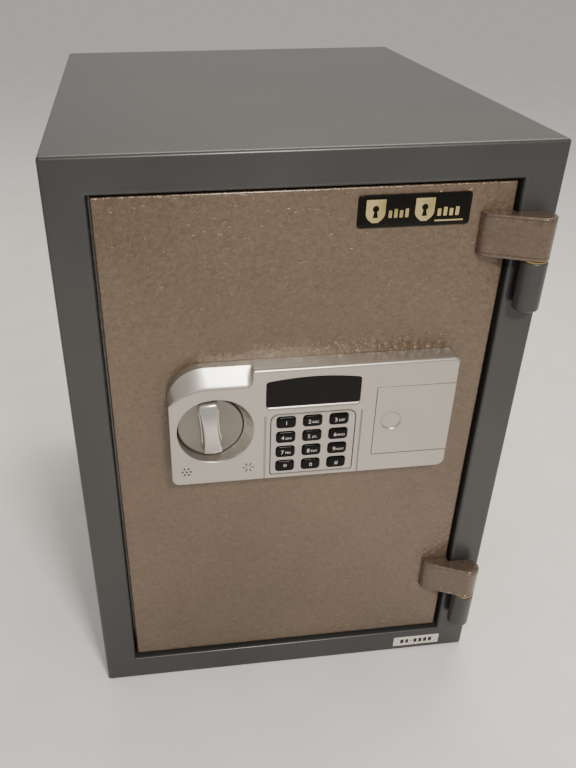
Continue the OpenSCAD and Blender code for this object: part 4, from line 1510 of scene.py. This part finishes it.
    def screws(self) -> Piece:
        """Builds the screws that hold the inner cover.

        Returns:
            The screws as one piece.
        """
        radius, height = self.screw_head
        form = screw("cover_screw", radius, height, 2.0)
        boxes = solids("cover_screws")
        seats = [Vector((box.middle.x, box.high.y - height, box.middle.z)) for box in boxes]
        return copies_at("cover_screw_set", form, seats, Finish.BRIGHT_STEEL)

    def build(self) -> None:
        """Makes the door's pieces."""
        finish_piece(self.pan(), "door", "door_paint", replaces=["door_skin"])
        plaque, ornament = self.badge()
        finish_piece(plaque, "door", "badge_enamel", replaces=["badge"])
        finish_piece(ornament, "door", "badge_enamel", Finish.GOLD_FOIL)
        Softened("door_tray_folded", "door_tray", "door", "zinc_steel", 0.5).build()
        finish_piece(self.cover(), "door", "dark_abs", replaces=["inner_cover"])
        finish_piece(self.screws(), "door", "bright_steel", replaces=["cover_screws"])


# ---- lock ----------------------------------------------------------------------------------


@dataclass
class LockHousing:
    """Moulded housing on the door's face: its bevelled corner, dish, window and battery cover.

    Attributes:
        front: Depth of the housing's front face in the frame.
        depth: How far it reaches back from there.
        wall: Thickness of its walls.
        bevel: Depth over which the bevel of the top left corner runs out.
        drop: How far the bevel falls at the front.
        arc: Radius of the bevel's front edge.
        arc_in: How far the middle of that arc lies from the left side.
        corner: Radius of the top left corner behind the bevel.
        step_x: Place of the step at the bevel's right end.
        dish_x: Middle of the dish, across.
        dish_radius: Radius of the dish at the front.
        dish_half: Half the length by which the dish is widened.
        dish_deep: Depth of its floor.
        disc: Radius of the round well for the knob's disc.
        arch: Height of the arched top of the display window.
        lines: Where the two lines beside the keypad run, across.
        hole: Radius of the sound holes.
        hole_ring: Radius of the ring of holes and of the ring of slots.
        slots_x: Middle of the ring of slots, across.
        keypad: Lower left and upper right corners of the keypad surround.
        seam: Gap round the keypad surround.
    """

    front: float = -238.0
    depth: float = 18.0
    wall: float = 2.2
    bevel: float = 9.0
    drop: float = 14.0
    arc: float = 46.0
    arc_in: float = 32.0
    corner: float = 28.5
    step_x: float = -41.0
    dish_x: float = -70.1
    dish_radius: float = 29.2
    dish_half: float = 1.7
    dish_deep: float = 9.0
    disc: float = 27.0
    arch: float = 3.1
    lines: Point = (-31.0, 46.3)
    hole: float = 0.95
    hole_ring: float = 3.3
    slots_x: float = -44.1
    keypad: tuple[Point, Point] = ((-26.3, 246.0), (41.5, 302.6))
    seam: float = 0.4

    def __post_init__(self) -> None:
        """Takes the housing's corners from the CAD box and the spindle from the knob's joint."""
        (self.x0, self.z0), (self.x1, self.z1) = corners_of("lock_housing")
        self.spindle = pivot("knob_turn")

    def shape(self, deep: float) -> list[Point]:
        """Draws the outline at a depth behind the front: the bevel takes the top left corner.

        Args:
            deep: Depth behind the front face.

        Returns:
            The outline, anticlockwise from the lower left.
        """
        share = min(max(deep / self.bevel, 0.0), 1.0)
        base = rounded((self.x0, self.z0), (self.x1, self.z1), [6.0, 6.0, 4.5, 4.5], 8)
        points = base[:27]
        # the step is drawn at its full height and flattened as the bevel runs out
        out, notch, step = 1.6, 5.0, []
        for i in range(6):
            t = math.radians(90 + 18 * i)
            step.append((out + out * math.cos(t), out - out * math.sin(t)))
        for i in range(7):
            t = math.radians(-15 * i)
            step.append((notch * math.cos(t) - notch, self.drop - notch - notch * math.sin(t)))
        points += [(self.step_x + x, self.z1 - down * (1 - share)) for x, down in step]
        low = math.degrees(math.acos(-self.arc_in / self.arc))
        for i in range(15):
            t = i / 14
            a, b = math.radians(90 + (low - 90) * t), math.radians(90 + 90 * t)
            left, top = self.x0 + self.arc_in, self.z1 - self.drop
            first = Vector((left + self.arc * math.cos(a), top - self.arc * (1 - math.sin(a))))
            cut, down = self.corner * (1 + math.cos(b)), self.corner * (1 - math.sin(b))
            last = Vector((self.x0 + cut, self.z1 - down))
            points.append(tuple(first.lerp(last, share)))
        return points

    def weights(self) -> list[float]:
        """Gives the front edge its radii: wide along the top, less at the right, small elsewhere.

        Returns:
            The radius at each point of the outline.
        """
        radii = []
        for x, z in self.shape(0.0):
            top = z > self.z1 - 6 and x > self.step_x
            right = x > self.x1 - 5
            radii.append(2.6 if top else 2.0 if right else 1.2)
        return radii

    def ring_at(self, turn: float) -> Ring:
        """Draws one ring of the round front edge.

        Args:
            turn: Angle round the edge, a right angle on the face.

        Returns:
            The ring.
        """
        ring = []
        for i, radius in enumerate(self.weights()):
            fall, cut = radius * (1 - math.sin(turn)), radius * (1 - math.cos(turn))
            x, z = inset(self.shape(fall), cut)[i]
            ring.append(Vector((x, self.front + fall, z)))
        return ring

    def body(self) -> Piece:
        """Builds the outer form as a solid.

        Returns:
            The form.
        """
        rings = [self.ring_at(math.radians(90 - 15 * i)) for i in range(7)]
        depths = (3.4, 5.2, 7.0, 8.2, 9.0, 9.8, 13.0, 17.6)
        rings += [upright(self.shape(deep), self.front + deep) for deep in depths]
        rings.append(upright(inset(self.shape(self.depth), 0.3), self.front + self.depth))
        return loft("lock_housing_moulded", rings)

    def cavity(self) -> Piece:
        """Builds the hollow behind the front wall, less the dish's drum, the bosses and rails.

        Returns:
            The hollow, as a cutter.
        """
        left = []
        for deep in (2.2, 4.0, 7.0, 10.4, 19.0):
            part = self.left_part(max(deep - 1.4, 0.0))
            left.append(upright(inset(part, self.wall), self.front + deep))
        low, high = (self.step_x + self.wall, self.z0 + self.wall), (self.x1 - self.wall, self.z1 - self.wall)
        right = plate("right", low, high, 0.5, [(0.0, self.front + 2.2), (0.0, self.front + 19.0)], 2)
        hollow = combine(loft("cavity", left), [right], "UNION")
        keep = [self.drum(31.2, 11.0)]
        for screw_box in solids("housing_screws"):
            x, z = screw_box.middle.x, screw_box.middle.z
            keep.append(drill(4.0, 30.0, facing(x, self.front, z), 32))
        cover = Box.of("battery_cover")
        for z in (cover.low.z - self.wall, cover.high.z - 0.3):
            low, high = (cover.low.x - 2.5, z), (self.x1, z + 2.5)
            keep.append(plate("rail", low, high, 0.1, [(0.0, self.front), (0.0, self.front + 3.4)], 1))
        return combine(hollow, keep)

    def left_part(self, deep: float) -> list[Point]:
        """Draws the part of the outline left of the step.

        Args:
            deep: Depth behind the front face.

        Returns:
            The outline.
        """
        points = self.shape(deep)
        past = self.step_x + 9.0
        return [*points[:9], (past, self.z0), (past, points[40][1]), *points[40:]]

    def drum(self, radius: float, deep: float) -> Piece:
        """Builds the drum round the dish, from the front down to a depth."""
        ring = self.stadium(radius, 1.0)
        return loft("drum", [upright(ring, self.front - 1), upright(ring, self.front + deep)])

    def stadium(self, radius: float, share: float) -> list[Point]:
        """Draws the dish's outline.

        Args:
            radius: Its radius.
            share: 0 for a circle round the knob, 1 for the outline widened to the right.

        Returns:
            The outline.
        """
        points, steps, x = [], 96, self.spindle.x
        for t in (2 * math.pi * i / steps for i in range(steps)):
            ease = math.tanh(3 * math.cos(t))
            centre = x + (self.dish_x + self.dish_half * ease - x) * share
            points.append((centre + radius * math.cos(t), self.spindle.z + radius * math.sin(t)))
        return points

    def dish_cutter(self) -> Piece:
        """Builds what the dish takes away: steep at the left, sloping at the right.

        Returns:
            The cutter.
        """
        rings = [upright(self.stadium(self.disc, 0.0), self.front + 13.0)]
        for share in (i / 8 for i in range(9)):
            grow = share**0.8
            radius = self.disc + (self.dish_radius - 0.6 - self.disc) * grow
            deep = self.dish_deep * (1 - share) + 0.5 * share
            rings.append(upright(self.stadium(radius, grow), self.front + deep))
        for grow, deep in ((-0.3, 0.15), (0.1, -0.05), (0.1, -2.0)):
            rings.append(upright(self.stadium(self.dish_radius + grow, 1.0), self.front + deep))
        return loft("dish_cutter", rings)

    def window_outline(self) -> list[Point]:
        """Draws the display window with its arched top.

        Returns:
            The outline.
        """
        (x0, z0), (x1, top) = corners_of("display_window")
        z1 = top - self.arch
        points = rounded((x0, z0), (x1, z1), [2.0, 2.0, 0.8, 0.8], 5)[:12]
        half, corner = (x1 - x0) / 2, 1.8
        ends = [corner * (1 - math.cos(math.radians(15 * i))) for i in range(7)]
        spans = ends + [corner + (half - corner) * i / 10 for i in range(1, 11)]
        for side, run in ((1, spans), (-1, spans[-2::-1])):
            for away in run:
                t = 1 - away / half
                fall = corner - math.sqrt(corner**2 - max(corner - away, 0.0) ** 2)
                points.append(((x0 + x1) / 2 + side * t * half, z1 + self.arch * (1 - t * t) - fall))
        return points

    def window_cutter(self) -> Piece:
        """Builds the opening for the window, with a rounded sill below it.

        Returns:
            The cutter.
        """
        outline = self.window_outline()
        box = Box.of("display_window")

        def grown(side: float, sill: float, y: float) -> Ring:
            """Grows the outline at the sides and, near its bottom, by the sill.

            Args:
                side: Growth of the sides and the top.
                sill: Growth of the bottom.
                y: Depth of the ring.

            Returns:
                The ring.
            """
            ring = []
            for (_, z), (gx, gz) in zip(outline, inset(outline, -side), strict=True):
                down = max(0.0, 1 - (z - box.low.z) / 4.0)
                ring.append(Vector((gx, y, gz - (sill - side) * down if down > 0 else gz)))
            return ring

        gap, side, sill, edge = 0.15, 0.75, 3.2, 1.5
        rings = [grown(gap, gap, self.front + deep) for deep in (4.0, edge)]
        for turn in (math.radians(15 * i) for i in range(7)):
            run, deep = 1 - math.cos(turn), edge * (1 - math.sin(turn))
            rings.append(grown(gap + side * run, gap + sill * run, self.front + deep))
        rings.append(grown(gap + side, gap + sill, self.front - 1.0))
        return loft("window_cutter", rings)

    def window(self) -> Piece:
        """Builds the smoked window, a little crowned.

        Returns:
            The window.
        """
        outline = self.window_outline()
        f = self.front
        steps = [(0.0, f + 2.2), (0.0, f + 1.25), (0.1, f + 1.08), (0.3, f + 0.97), (0.6, f + 0.9)]
        return loft("display_window_smoked", [upright(inset(outline, cut), y) for cut, y in steps])

    def grooves(self) -> list[Piece]:
        """Builds the cutters of the two lines beside the keypad.

        Returns:
            The two cutters.
        """
        tip = [(-1.0, -0.1), (1.0, -0.1), (0.45, 0.5), (0.4, 1.4), (-0.4, 1.4), (-0.45, 0.5)]
        cutters = []
        for x in self.lines:
            plan = [(x + out, self.front + deep) for out, deep in tip]
            cutters.append(loft("groove", [level(plan, z) for z in (238.0, 302.5)]))
        return cutters

    def holes(self) -> list[Piece]:
        """Builds the cutters of the sound holes and of the ring of slots.

        Returns:
            The ring of holes, the hole in its middle and the ring of slots.
        """
        middle = Box.of("sounder").middle
        place, beside = (facing(x, self.front, middle.z) for x in (middle.x, self.slots_x))
        reach, count, finish = 4.0, 6, Finish.SILVER_ABS
        outline = [(-1.4, -0.45), (1.4, -0.45), (1.4, 0.45), (-1.4, 0.45)]
        hole = drill(self.hole, reach, Matrix.Identity(4), 20)
        slot = loft("slot_form", [level(outline, z) for z in (-reach, reach)])
        return [
            ring_of("sound_ring", hole, count, self.hole_ring, place, finish),
            drill(self.hole, reach, place, 20),
            ring_of("slot_ring", slot, count, self.hole_ring, beside, finish),
        ]

    def hatch_cutters(self) -> list[Piece]:
        """Builds the opening for the battery cover, through the front and the right side.

        Returns:
            The two cutters.
        """
        cover, gap = Box.of("battery_cover"), 0.3
        low, high = (cover.low.x - gap, cover.low.z - gap), (self.x1 + 2, cover.high.z + gap)
        f, eased = self.front, 0.5
        steps = [(-eased, f - 2), (-eased, f - 0.02), (-0.15, f + 0.15)]
        steps += [(0.0, f + eased), (0.0, f + self.wall)]
        flat = plate("hatch", low, high, 0.1, steps, 1)
        low = (self.x1 - 2 * self.wall, low[1])
        side = plate("hatch_side", low, high, 0.1, [(0.0, f - 2), (0.0, f + 17.8)], 1)
        return [flat, side]

    def surround_outline(self, cut: float) -> list[Point]:
        """Draws the keypad surround.

        Args:
            cut: How far the outline is moved in.

        Returns:
            The outline.
        """
        (x0, z0), (x1, z1) = self.keypad
        corners = [2 - cut, 2 - cut, 6 - cut, 6 - cut]
        return rounded((x0 + cut, z0 + cut), (x1 - cut, z1 - cut), corners, 6)

    def surround_cutter(self) -> Piece:
        """Builds the opening for the keypad surround, with an eased edge.

        Returns:
            The cutter.
        """
        f, seam = self.front, self.seam
        steps = [(-seam, f + 6.0), (-seam, f + 1.0), (-seam - 0.3, f + 0.35), (-seam - 1.0, f - 0.02)]
        steps.append((-seam - 1.0, f - 2.0))
        return loft("surround_cutter", [upright(self.surround_outline(cut), y) for cut, y in steps])

    def cover(self) -> Piece:
        """Builds the battery cover with its thumb dimple.

        Returns:
            The cover.
        """
        box, f = Box.of("battery_cover"), self.front
        x0, x1, back = box.low.x, box.high.x, box.high.y
        plan = [(x0, f + 0.6), (x0 + 0.18, f + 0.18), (x0 + 0.6, f)]
        for i in range(7):
            t = math.radians(-90 + 15 * i)
            plan.append((x1 - 2 + 2 * math.cos(t), f + 2 + 2 * math.sin(t)))
        plan += [(x1, back), (x1 - self.wall, back), (x1 - self.wall, f + self.wall), (x0, f + self.wall)]
        rim = quarter(0.6, 3)
        steps = [(cut, box.low.z + up) for cut, up in reversed(rim)]
        steps += [(cut, box.high.z - up) for cut, up in rim]
        cover = loft("battery_cover_moulded", [level(inset(plan, cut), z) for cut, z in steps])
        profile = [(AXIS, -1.1), (6.6, -1.1), (7.4, -0.95), (8.1, -0.45), (8.5, 0.05), (8.7, 2.0)]
        place = facing(x0 + 13.5, f, box.low.z + 31.5)
        return combine(cover, [lathe("dimple", profile, place, 64)])

    def build(self) -> None:
        """Makes the housing, its window and its cover."""
        shell = combine(self.body(), [self.cavity()])
        cutters = [self.dish_cutter(), self.window_cutter(), self.surround_cutter()]
        shell = combine(shell, [*cutters, *self.grooves(), *self.hatch_cutters(), *self.holes()])
        finish_piece(shell, "door", "silver_abs", replaces=["lock_housing"])
        finish_piece(self.window(), "door", "window_black", replaces=["display_window"])
        finish_piece(self.cover(), "battery_cover", "silver_abs", replaces=["battery_cover"])


@dataclass
class Knob:
    """Turned disc with a waisted grip across it.

    Attributes:
        radius: Radius of the disc.
        half: Half the grip's length.
        width: Width of the grip at its ends.
        waist: How far each side of the grip draws in at the middle.
        crest: Height of the grip at its middle.
        end: Height of the grip at its ends.
        lean: How far the grip leans when the bolts are drawn, in degrees.
    """

    radius: float = 26.4
    half: float = 23.5
    width: float = 16.5
    waist: float = 2.2
    crest: float = 9.5
    end: float = 4.75
    lean: float = 4.5

    def __post_init__(self) -> None:
        """Takes the knob's place from its joint."""
        self.spindle = pivot("knob_turn")

    def disc(self) -> Piece:
        """Builds the shallow disc with its hub and the bore for the spindle.

        Returns:
            The disc.
        """
        profile = [(AXIS, -2.5), (6.0, -2.4), (12.0, -1.9), (18.0, -1.1), (22.6, -0.25), (24.0, 0.0)]
        profile += [(self.radius - cut, -fall) for cut, fall in reversed(quarter(1.4, 5))]
        profile += [(self.radius, -3.2), (self.radius - 0.3, -3.5), (9.0, -3.5), (9.0, -6.4), (5.0, -6.4)]
        profile += [(5.0, -3.45), (AXIS, -3.45)]
        return lathe("knob_disc", profile, facing(*self.spindle), 128)

    def section(self, v: float) -> list[Vector]:
        """Draws the grip across its length.

        Args:
            v: Place along the grip from its middle.

        Returns:
            The section's points, from the right foot over the crest to the left foot.
        """
        bow = 1 - (v / self.half) ** 2
        wide = self.width / 2 - self.waist * bow
        over = max(0.0, abs(v) - (self.half - 3.5)) / 3.5
        wide -= 3.5 * (1 - math.sqrt(max(0.0, 1 - over * over)))
        tall = self.end + (self.crest - self.end) * bow
        lip = max(0.0, abs(v) - (self.half - 2.0)) / 2.0
        tall -= 1.8 * (1 - math.sqrt(max(0.0, 1 - lip * lip)))
        foot, brow = 1.3, 2.0
        points = [(wide + foot, -3.0), (wide + foot, -1.4)]
        for i in range(1, 4):
            t = math.radians(30 * i)
            points.append((wide + foot * (1 - math.sin(t)), -1.4 + foot * (1 - math.cos(t))))
        for i in range(6):
            t = math.radians(18 * i)
            points.append((wide - brow + brow * math.cos(t), tall - 0.35 - brow + brow * math.sin(t)))
        points.append(((wide - brow) * 0.5, tall - 0.08))
        whole = points + [(0.0, tall)] + [(-u, w) for u, w in reversed(points)]
        return [Vector((u, -w, v)) for u, w in whole]

    def grip(self) -> Piece:
        """Builds the grip, leaning as it does when the bolts are drawn.

        Returns:
            The grip.
        """
        stops = [self.half * math.sin(math.radians(-90 + 5 * i)) for i in range(37)]
        lean = Matrix.Rotation(math.radians(-self.lean), 4, "Y")
        place = Matrix.Translation(self.spindle) @ lean
        return loft("knob_grip", [[place @ p for p in self.section(v)] for v in stops])

    def build(self) -> None:
        """Makes the knob."""
        # the disc takes a copy of the silver lacquer painted darker, as painted shade
        finish_piece(self.disc(), "knob", "silver_abs", Finish.SILVER_DISC, replaces=["knob"])
        # the grip takes a copy of the silver lacquer painted brighter, as a painted highlight
        finish_piece(self.grip(), "knob", "silver_abs", Finish.SILVER_GRIP, replaces=["knob"])


@dataclass
class Keypad:
    """Surround with twelve keys and the print on them.

    Attributes:
        front: Depth of the surround's face in the frame.
        proud: How far the keys stand out of it.
        flange: Width of a key's flange behind the surround.
        radius: Radius of the keys' corners.
        gap: Gap round a key.
        digit: Height of the digits' type.
        letter: Height of the letters' type.
        print_depth: Thickness of the print.
        legends: Sign and letters on each key.
    """

    front: float = -238.0
    proud: float = 1.6
    flange: float = 1.2
    radius: float = 2.6
    gap: float = 0.25
    digit: float = 5.0
    letter: float = 2.9
    print_depth: float = 0.12
    legends: dict[str, tuple[str, str]] = field(
        default_factory=lambda: {
            "key_1": ("1", ""),
            "key_2": ("2", "ABC"),
            "key_3": ("3", "DEF"),
            "key_4": ("4", "GHI"),
            "key_5": ("5", "JKL"),
            "key_6": ("6", "MNO"),
            "key_7": ("7", "PRS"),
            "key_8": ("8", "TUV"),
            "key_9": ("9", "WXY"),
            "key_star": ("*", ""),
            "key_0": ("0", ""),
            "key_hash": ("#", ""),
        }
    )

    def key(self, node: str) -> Piece:
        """Builds one key: a crowned cap with a flange behind the surround.

        Args:
            node: The key's CAD node.

        Returns:
            The cap.
        """
        f, top = self.front, self.front - self.proud
        steps = [(-self.flange, f + 4.3), (-self.flange, f + 3.1), (0.0, f + 3.1), (0.0, f - 0.3)]
        steps += [(cut, top + 0.3 + fall) for cut, fall in quarter(1.0, 4)]
        steps += [(1.9, top + 0.14), (2.9, top + 0.04), (4.0, top)]
        return plate(node + "_cap", *corners_of(node, self.flange), self.radius, steps, 6)

    def legend(self, node: str) -> Piece:
        """Builds the print of one key: its sign and the small letters beside it.

        Args:
            node: The key's CAD node.

        Returns:
            The print.
        """
        middle, y = Box.of(node).middle, self.front - self.proud
        sign, letters = self.legends[node]
        shift = -2.6 if letters else 0.0
        # type draws the star small and high
        size, drop = (self.digit * 1.5, -0.7) if sign == "*" else (self.digit, -0.2)
        place = facing(middle.x + shift, y, middle.z + drop)
        parts = [flat_text(node + "_sign", sign, size, place, self.print_depth)]
        if letters:
            place = facing(middle.x + 2.0, y, middle.z - 0.7)
            parts.append(flat_text(node + "_letters", letters, self.letter, place, self.print_depth))
        return merge(node + "_print", parts)

    def surround(self, housing: LockHousing) -> Piece:
        """Builds the surround with a hole for each key.

        Args:
            housing: The housing, which knows the surround's outline.

        Returns:
            The surround.
        """
        f = self.front
        steps = [(-1.8, f + 3.0), (-1.8, f + 2.2), (0.0, f + 2.2)]
        steps += [(0.0, f + 0.9), (0.3, f + 0.3), (0.9, f)]
        rings = [upright(housing.surround_outline(cut), y) for cut, y in steps]
        panel = loft("keypad_surround_moulded", rings)
        half, grow = Box.of("key_1").size / 2, self.gap - self.flange
        w, h = half.x + grow, half.z + grow
        # each hole is eased at the front
        easing = [(0.0, 6.0), (0.0, 0.35), (-0.3, 0.0), (-0.3, -2.0)]
        hole = plate("hole_form", (-w, -h), (w, h), self.radius + self.gap, easing, 6)
        middles = [Box.of(node).middle for node in self.legends]
        spots = [Vector((middle.x, f, middle.z)) for middle in middles]
        return combine(panel, [copies_at("key_holes", hole, spots, Finish.SILVER_ABS)])

    def build(self, housing: LockHousing) -> None:
        """Makes the surround, the keys and their print.

        Args:
            housing: The housing that the surround sits in.
        """
        finish_piece(self.surround(housing), "door", "silver_abs", replaces=["keypad_surround"])
        for node in self.legends:
            finish_piece(self.key(node), node, "key_black", replaces=[node])
            finish_piece(self.legend(node), node, "key_black", Finish.PRINT_INK)


@dataclass
class LockWork:
    """Bolts, bar, spindle, cam, solenoid and the battery cells in their box."""

    def cells(self) -> Piece:
        """Builds the four cells with their crimped ends and the nub of the positive pole.

        Returns:
            The cells as one piece.
        """
        made = []
        for box in solids("batteries"):
            length, r = box.size.x, box.size.z / 2
            profile = [(AXIS, 0.3), (4.4, 0.3), (4.8, 0.0), (r - 0.5, 0.0), (r, 0.5)]
            profile += [(r, length - 2.0), (r - 0.6, length - 1.6), (2.9, length - 1.4)]
            profile += [(2.8, length - 0.2), (2.5, length), (AXIS, length)]
            place = along_x(box.low.x, box.middle.y, box.middle.z)
            made.append(lathe("cell", profile, place, 40))
        return merge("battery_cells", made)

    def build(self) -> None:
        """Makes the pieces of the lock work that show."""
        finish_piece(self.cells(), "door", "cell_jacket", replaces=["batteries"])
        for piece in (
            Softened("locking_bolts_turned", "locking_bolts", "bolts", "bright_steel", 0.8),
            Softened("bolt_bar_milled", "bolt_bar", "bolts", "zinc_steel", 0.6),
            Softened("fixed_bolts_turned", "dog_bolts", "door", "bright_steel", 0.8),
            Softened("spindle_turned", "knob_spindle", "knob", "bright_steel", 0.4),
            Softened("drive_cam_stamped", "drive_cam", "knob", "zinc_steel", 0.4),
            Softened("battery_box_moulded", "battery_box", "door", "dark_abs", 0.4),
            Softened("solenoid_case", "solenoid", "door", "coil_case", 0.6),
            Softened("blocking_pin_turned", "blocking_pin", "blocking_pin", "bright_steel", 0.4),
            Softened("bolt_keepers_drawn", "bolt_keepers", "safe_body", "zinc_steel", 0.4),
        ):
            piece.build()


# ---- studio --------------------------------------------------------------------------------


@dataclass(frozen=True)
class Lamp:
    """A soft rectangular lamp.

    Attributes:
        name: The lamp's name.
        at: Where it hangs, in metres.
        aim: What it points at.
        size: Its width and height.
        power: Its power in watts.
        tint: Its colour.
    """

    name: str
    at: tuple[float, float, float]
    aim: tuple[float, float, float]
    size: tuple[float, float]
    power: float
    tint: str = "#ffffff"

    def build(self) -> None:
        """Hangs the lamp."""
        data = bpy.data.lights.new(self.name, "AREA")
        data.shape, data.size, data.size_y = "RECTANGLE", *self.size
        data.energy, data.color = self.power, linear(self.tint)[:3]
        lamp = link(self.name, data)
        lamp.location = self.at
        lamp.rotation_euler = (Vector(self.aim) - Vector(self.at)).to_track_quat("-Z", "Y").to_euler()


@dataclass
class Studio:
    """Pale floor, soft lamps and the camera.

    Attributes:
        eye: Where the camera stands, in metres.
        axes: Its right, its up and its back.
        lens: Its focal length in millimetres, for a sensor 36 mm wide.
        shift: Shift of the picture, as shares of its width.
        sky: Colour of the surroundings.
        strength: Their strength.
        lamps: The lamps.
    """

    eye: tuple[float, float, float] = (-0.1179, -0.7477, 0.6278)
    axes: tuple[tuple[float, float, float], ...] = (
        (0.9916, -0.1294, -0.002),
        (0.0736, 0.5508, 0.8314),
        (-0.1065, -0.8245, 0.5557),
    )
    lens: float = 36.78
    shift: Point = (0.0644, 0.0701)
    sky: str = "#f1efec"
    strength: float = 0.55
    lamps: tuple[Lamp, ...] = (
        Lamp("lamp_key", (0.13, -1.1, 1.04), (0.0, -0.2, 0.42), (0.2, 0.15), 13.0, "#fff8ee"),
        Lamp("lamp_top", (0.3, 0.6, 1.7), (0.0, 0.0, 0.5), (1.4, 1.0), 24.0, "#fff1dd"),
    )

    def floor(self) -> None:
        """Lays the floor."""
        mesh = bmesh.new()
        bmesh.ops.create_grid(mesh, x_segments=8, y_segments=8, size=12.0)
        floor = make("floor", mesh)
        floor.data.materials.append(material(Finish.FLOOR))

    def camera(self) -> None:
        """Sets the camera."""
        data = bpy.data.cameras.new("camera")
        data.lens, data.sensor_width = self.lens, 36.0
        data.shift_x, data.shift_y = self.shift
        camera = link("camera", data)
        turn = Matrix(self.axes).transposed()
        camera.matrix_world = Matrix.Translation(self.eye) @ turn.to_4x4()
        bpy.context.scene.camera = camera

    def build(self) -> None:
        """Makes the studio."""
        self.camera()
        self.floor()
        for lamp in self.lamps:
            lamp.build()
        world = bpy.data.worlds.new("sky")
        world.use_nodes = True
        back = world.node_tree.nodes["Background"]
        back.inputs["Color"].default_value = linear(self.sky)
        back.inputs["Strength"].default_value = self.strength
        bpy.context.scene.world = world


def dress_nodes() -> None:
    """Gives each CAD node that stays the finish of its slot."""
    for part in frame["record"]["subparts"]:
        node = frame["nodes"][part["node"]]
        node.data.materials.clear()
        node.data.materials.append(material(SLOTS[part["material_slot"]]))


def main() -> None:
    """Builds every sub-assembly."""
    logging.basicConfig(level=logging.INFO, format="%(message)s")
    Studio().build()
    dress_nodes()
    housing = LockHousing()
    Casing().build()
    Hinges().build()
    Interior().build()
    Door().build()
    housing.build()
    Knob().build()
    Keypad().build(housing)
    LockWork().build()


if __name__ == "__main__":
    main()
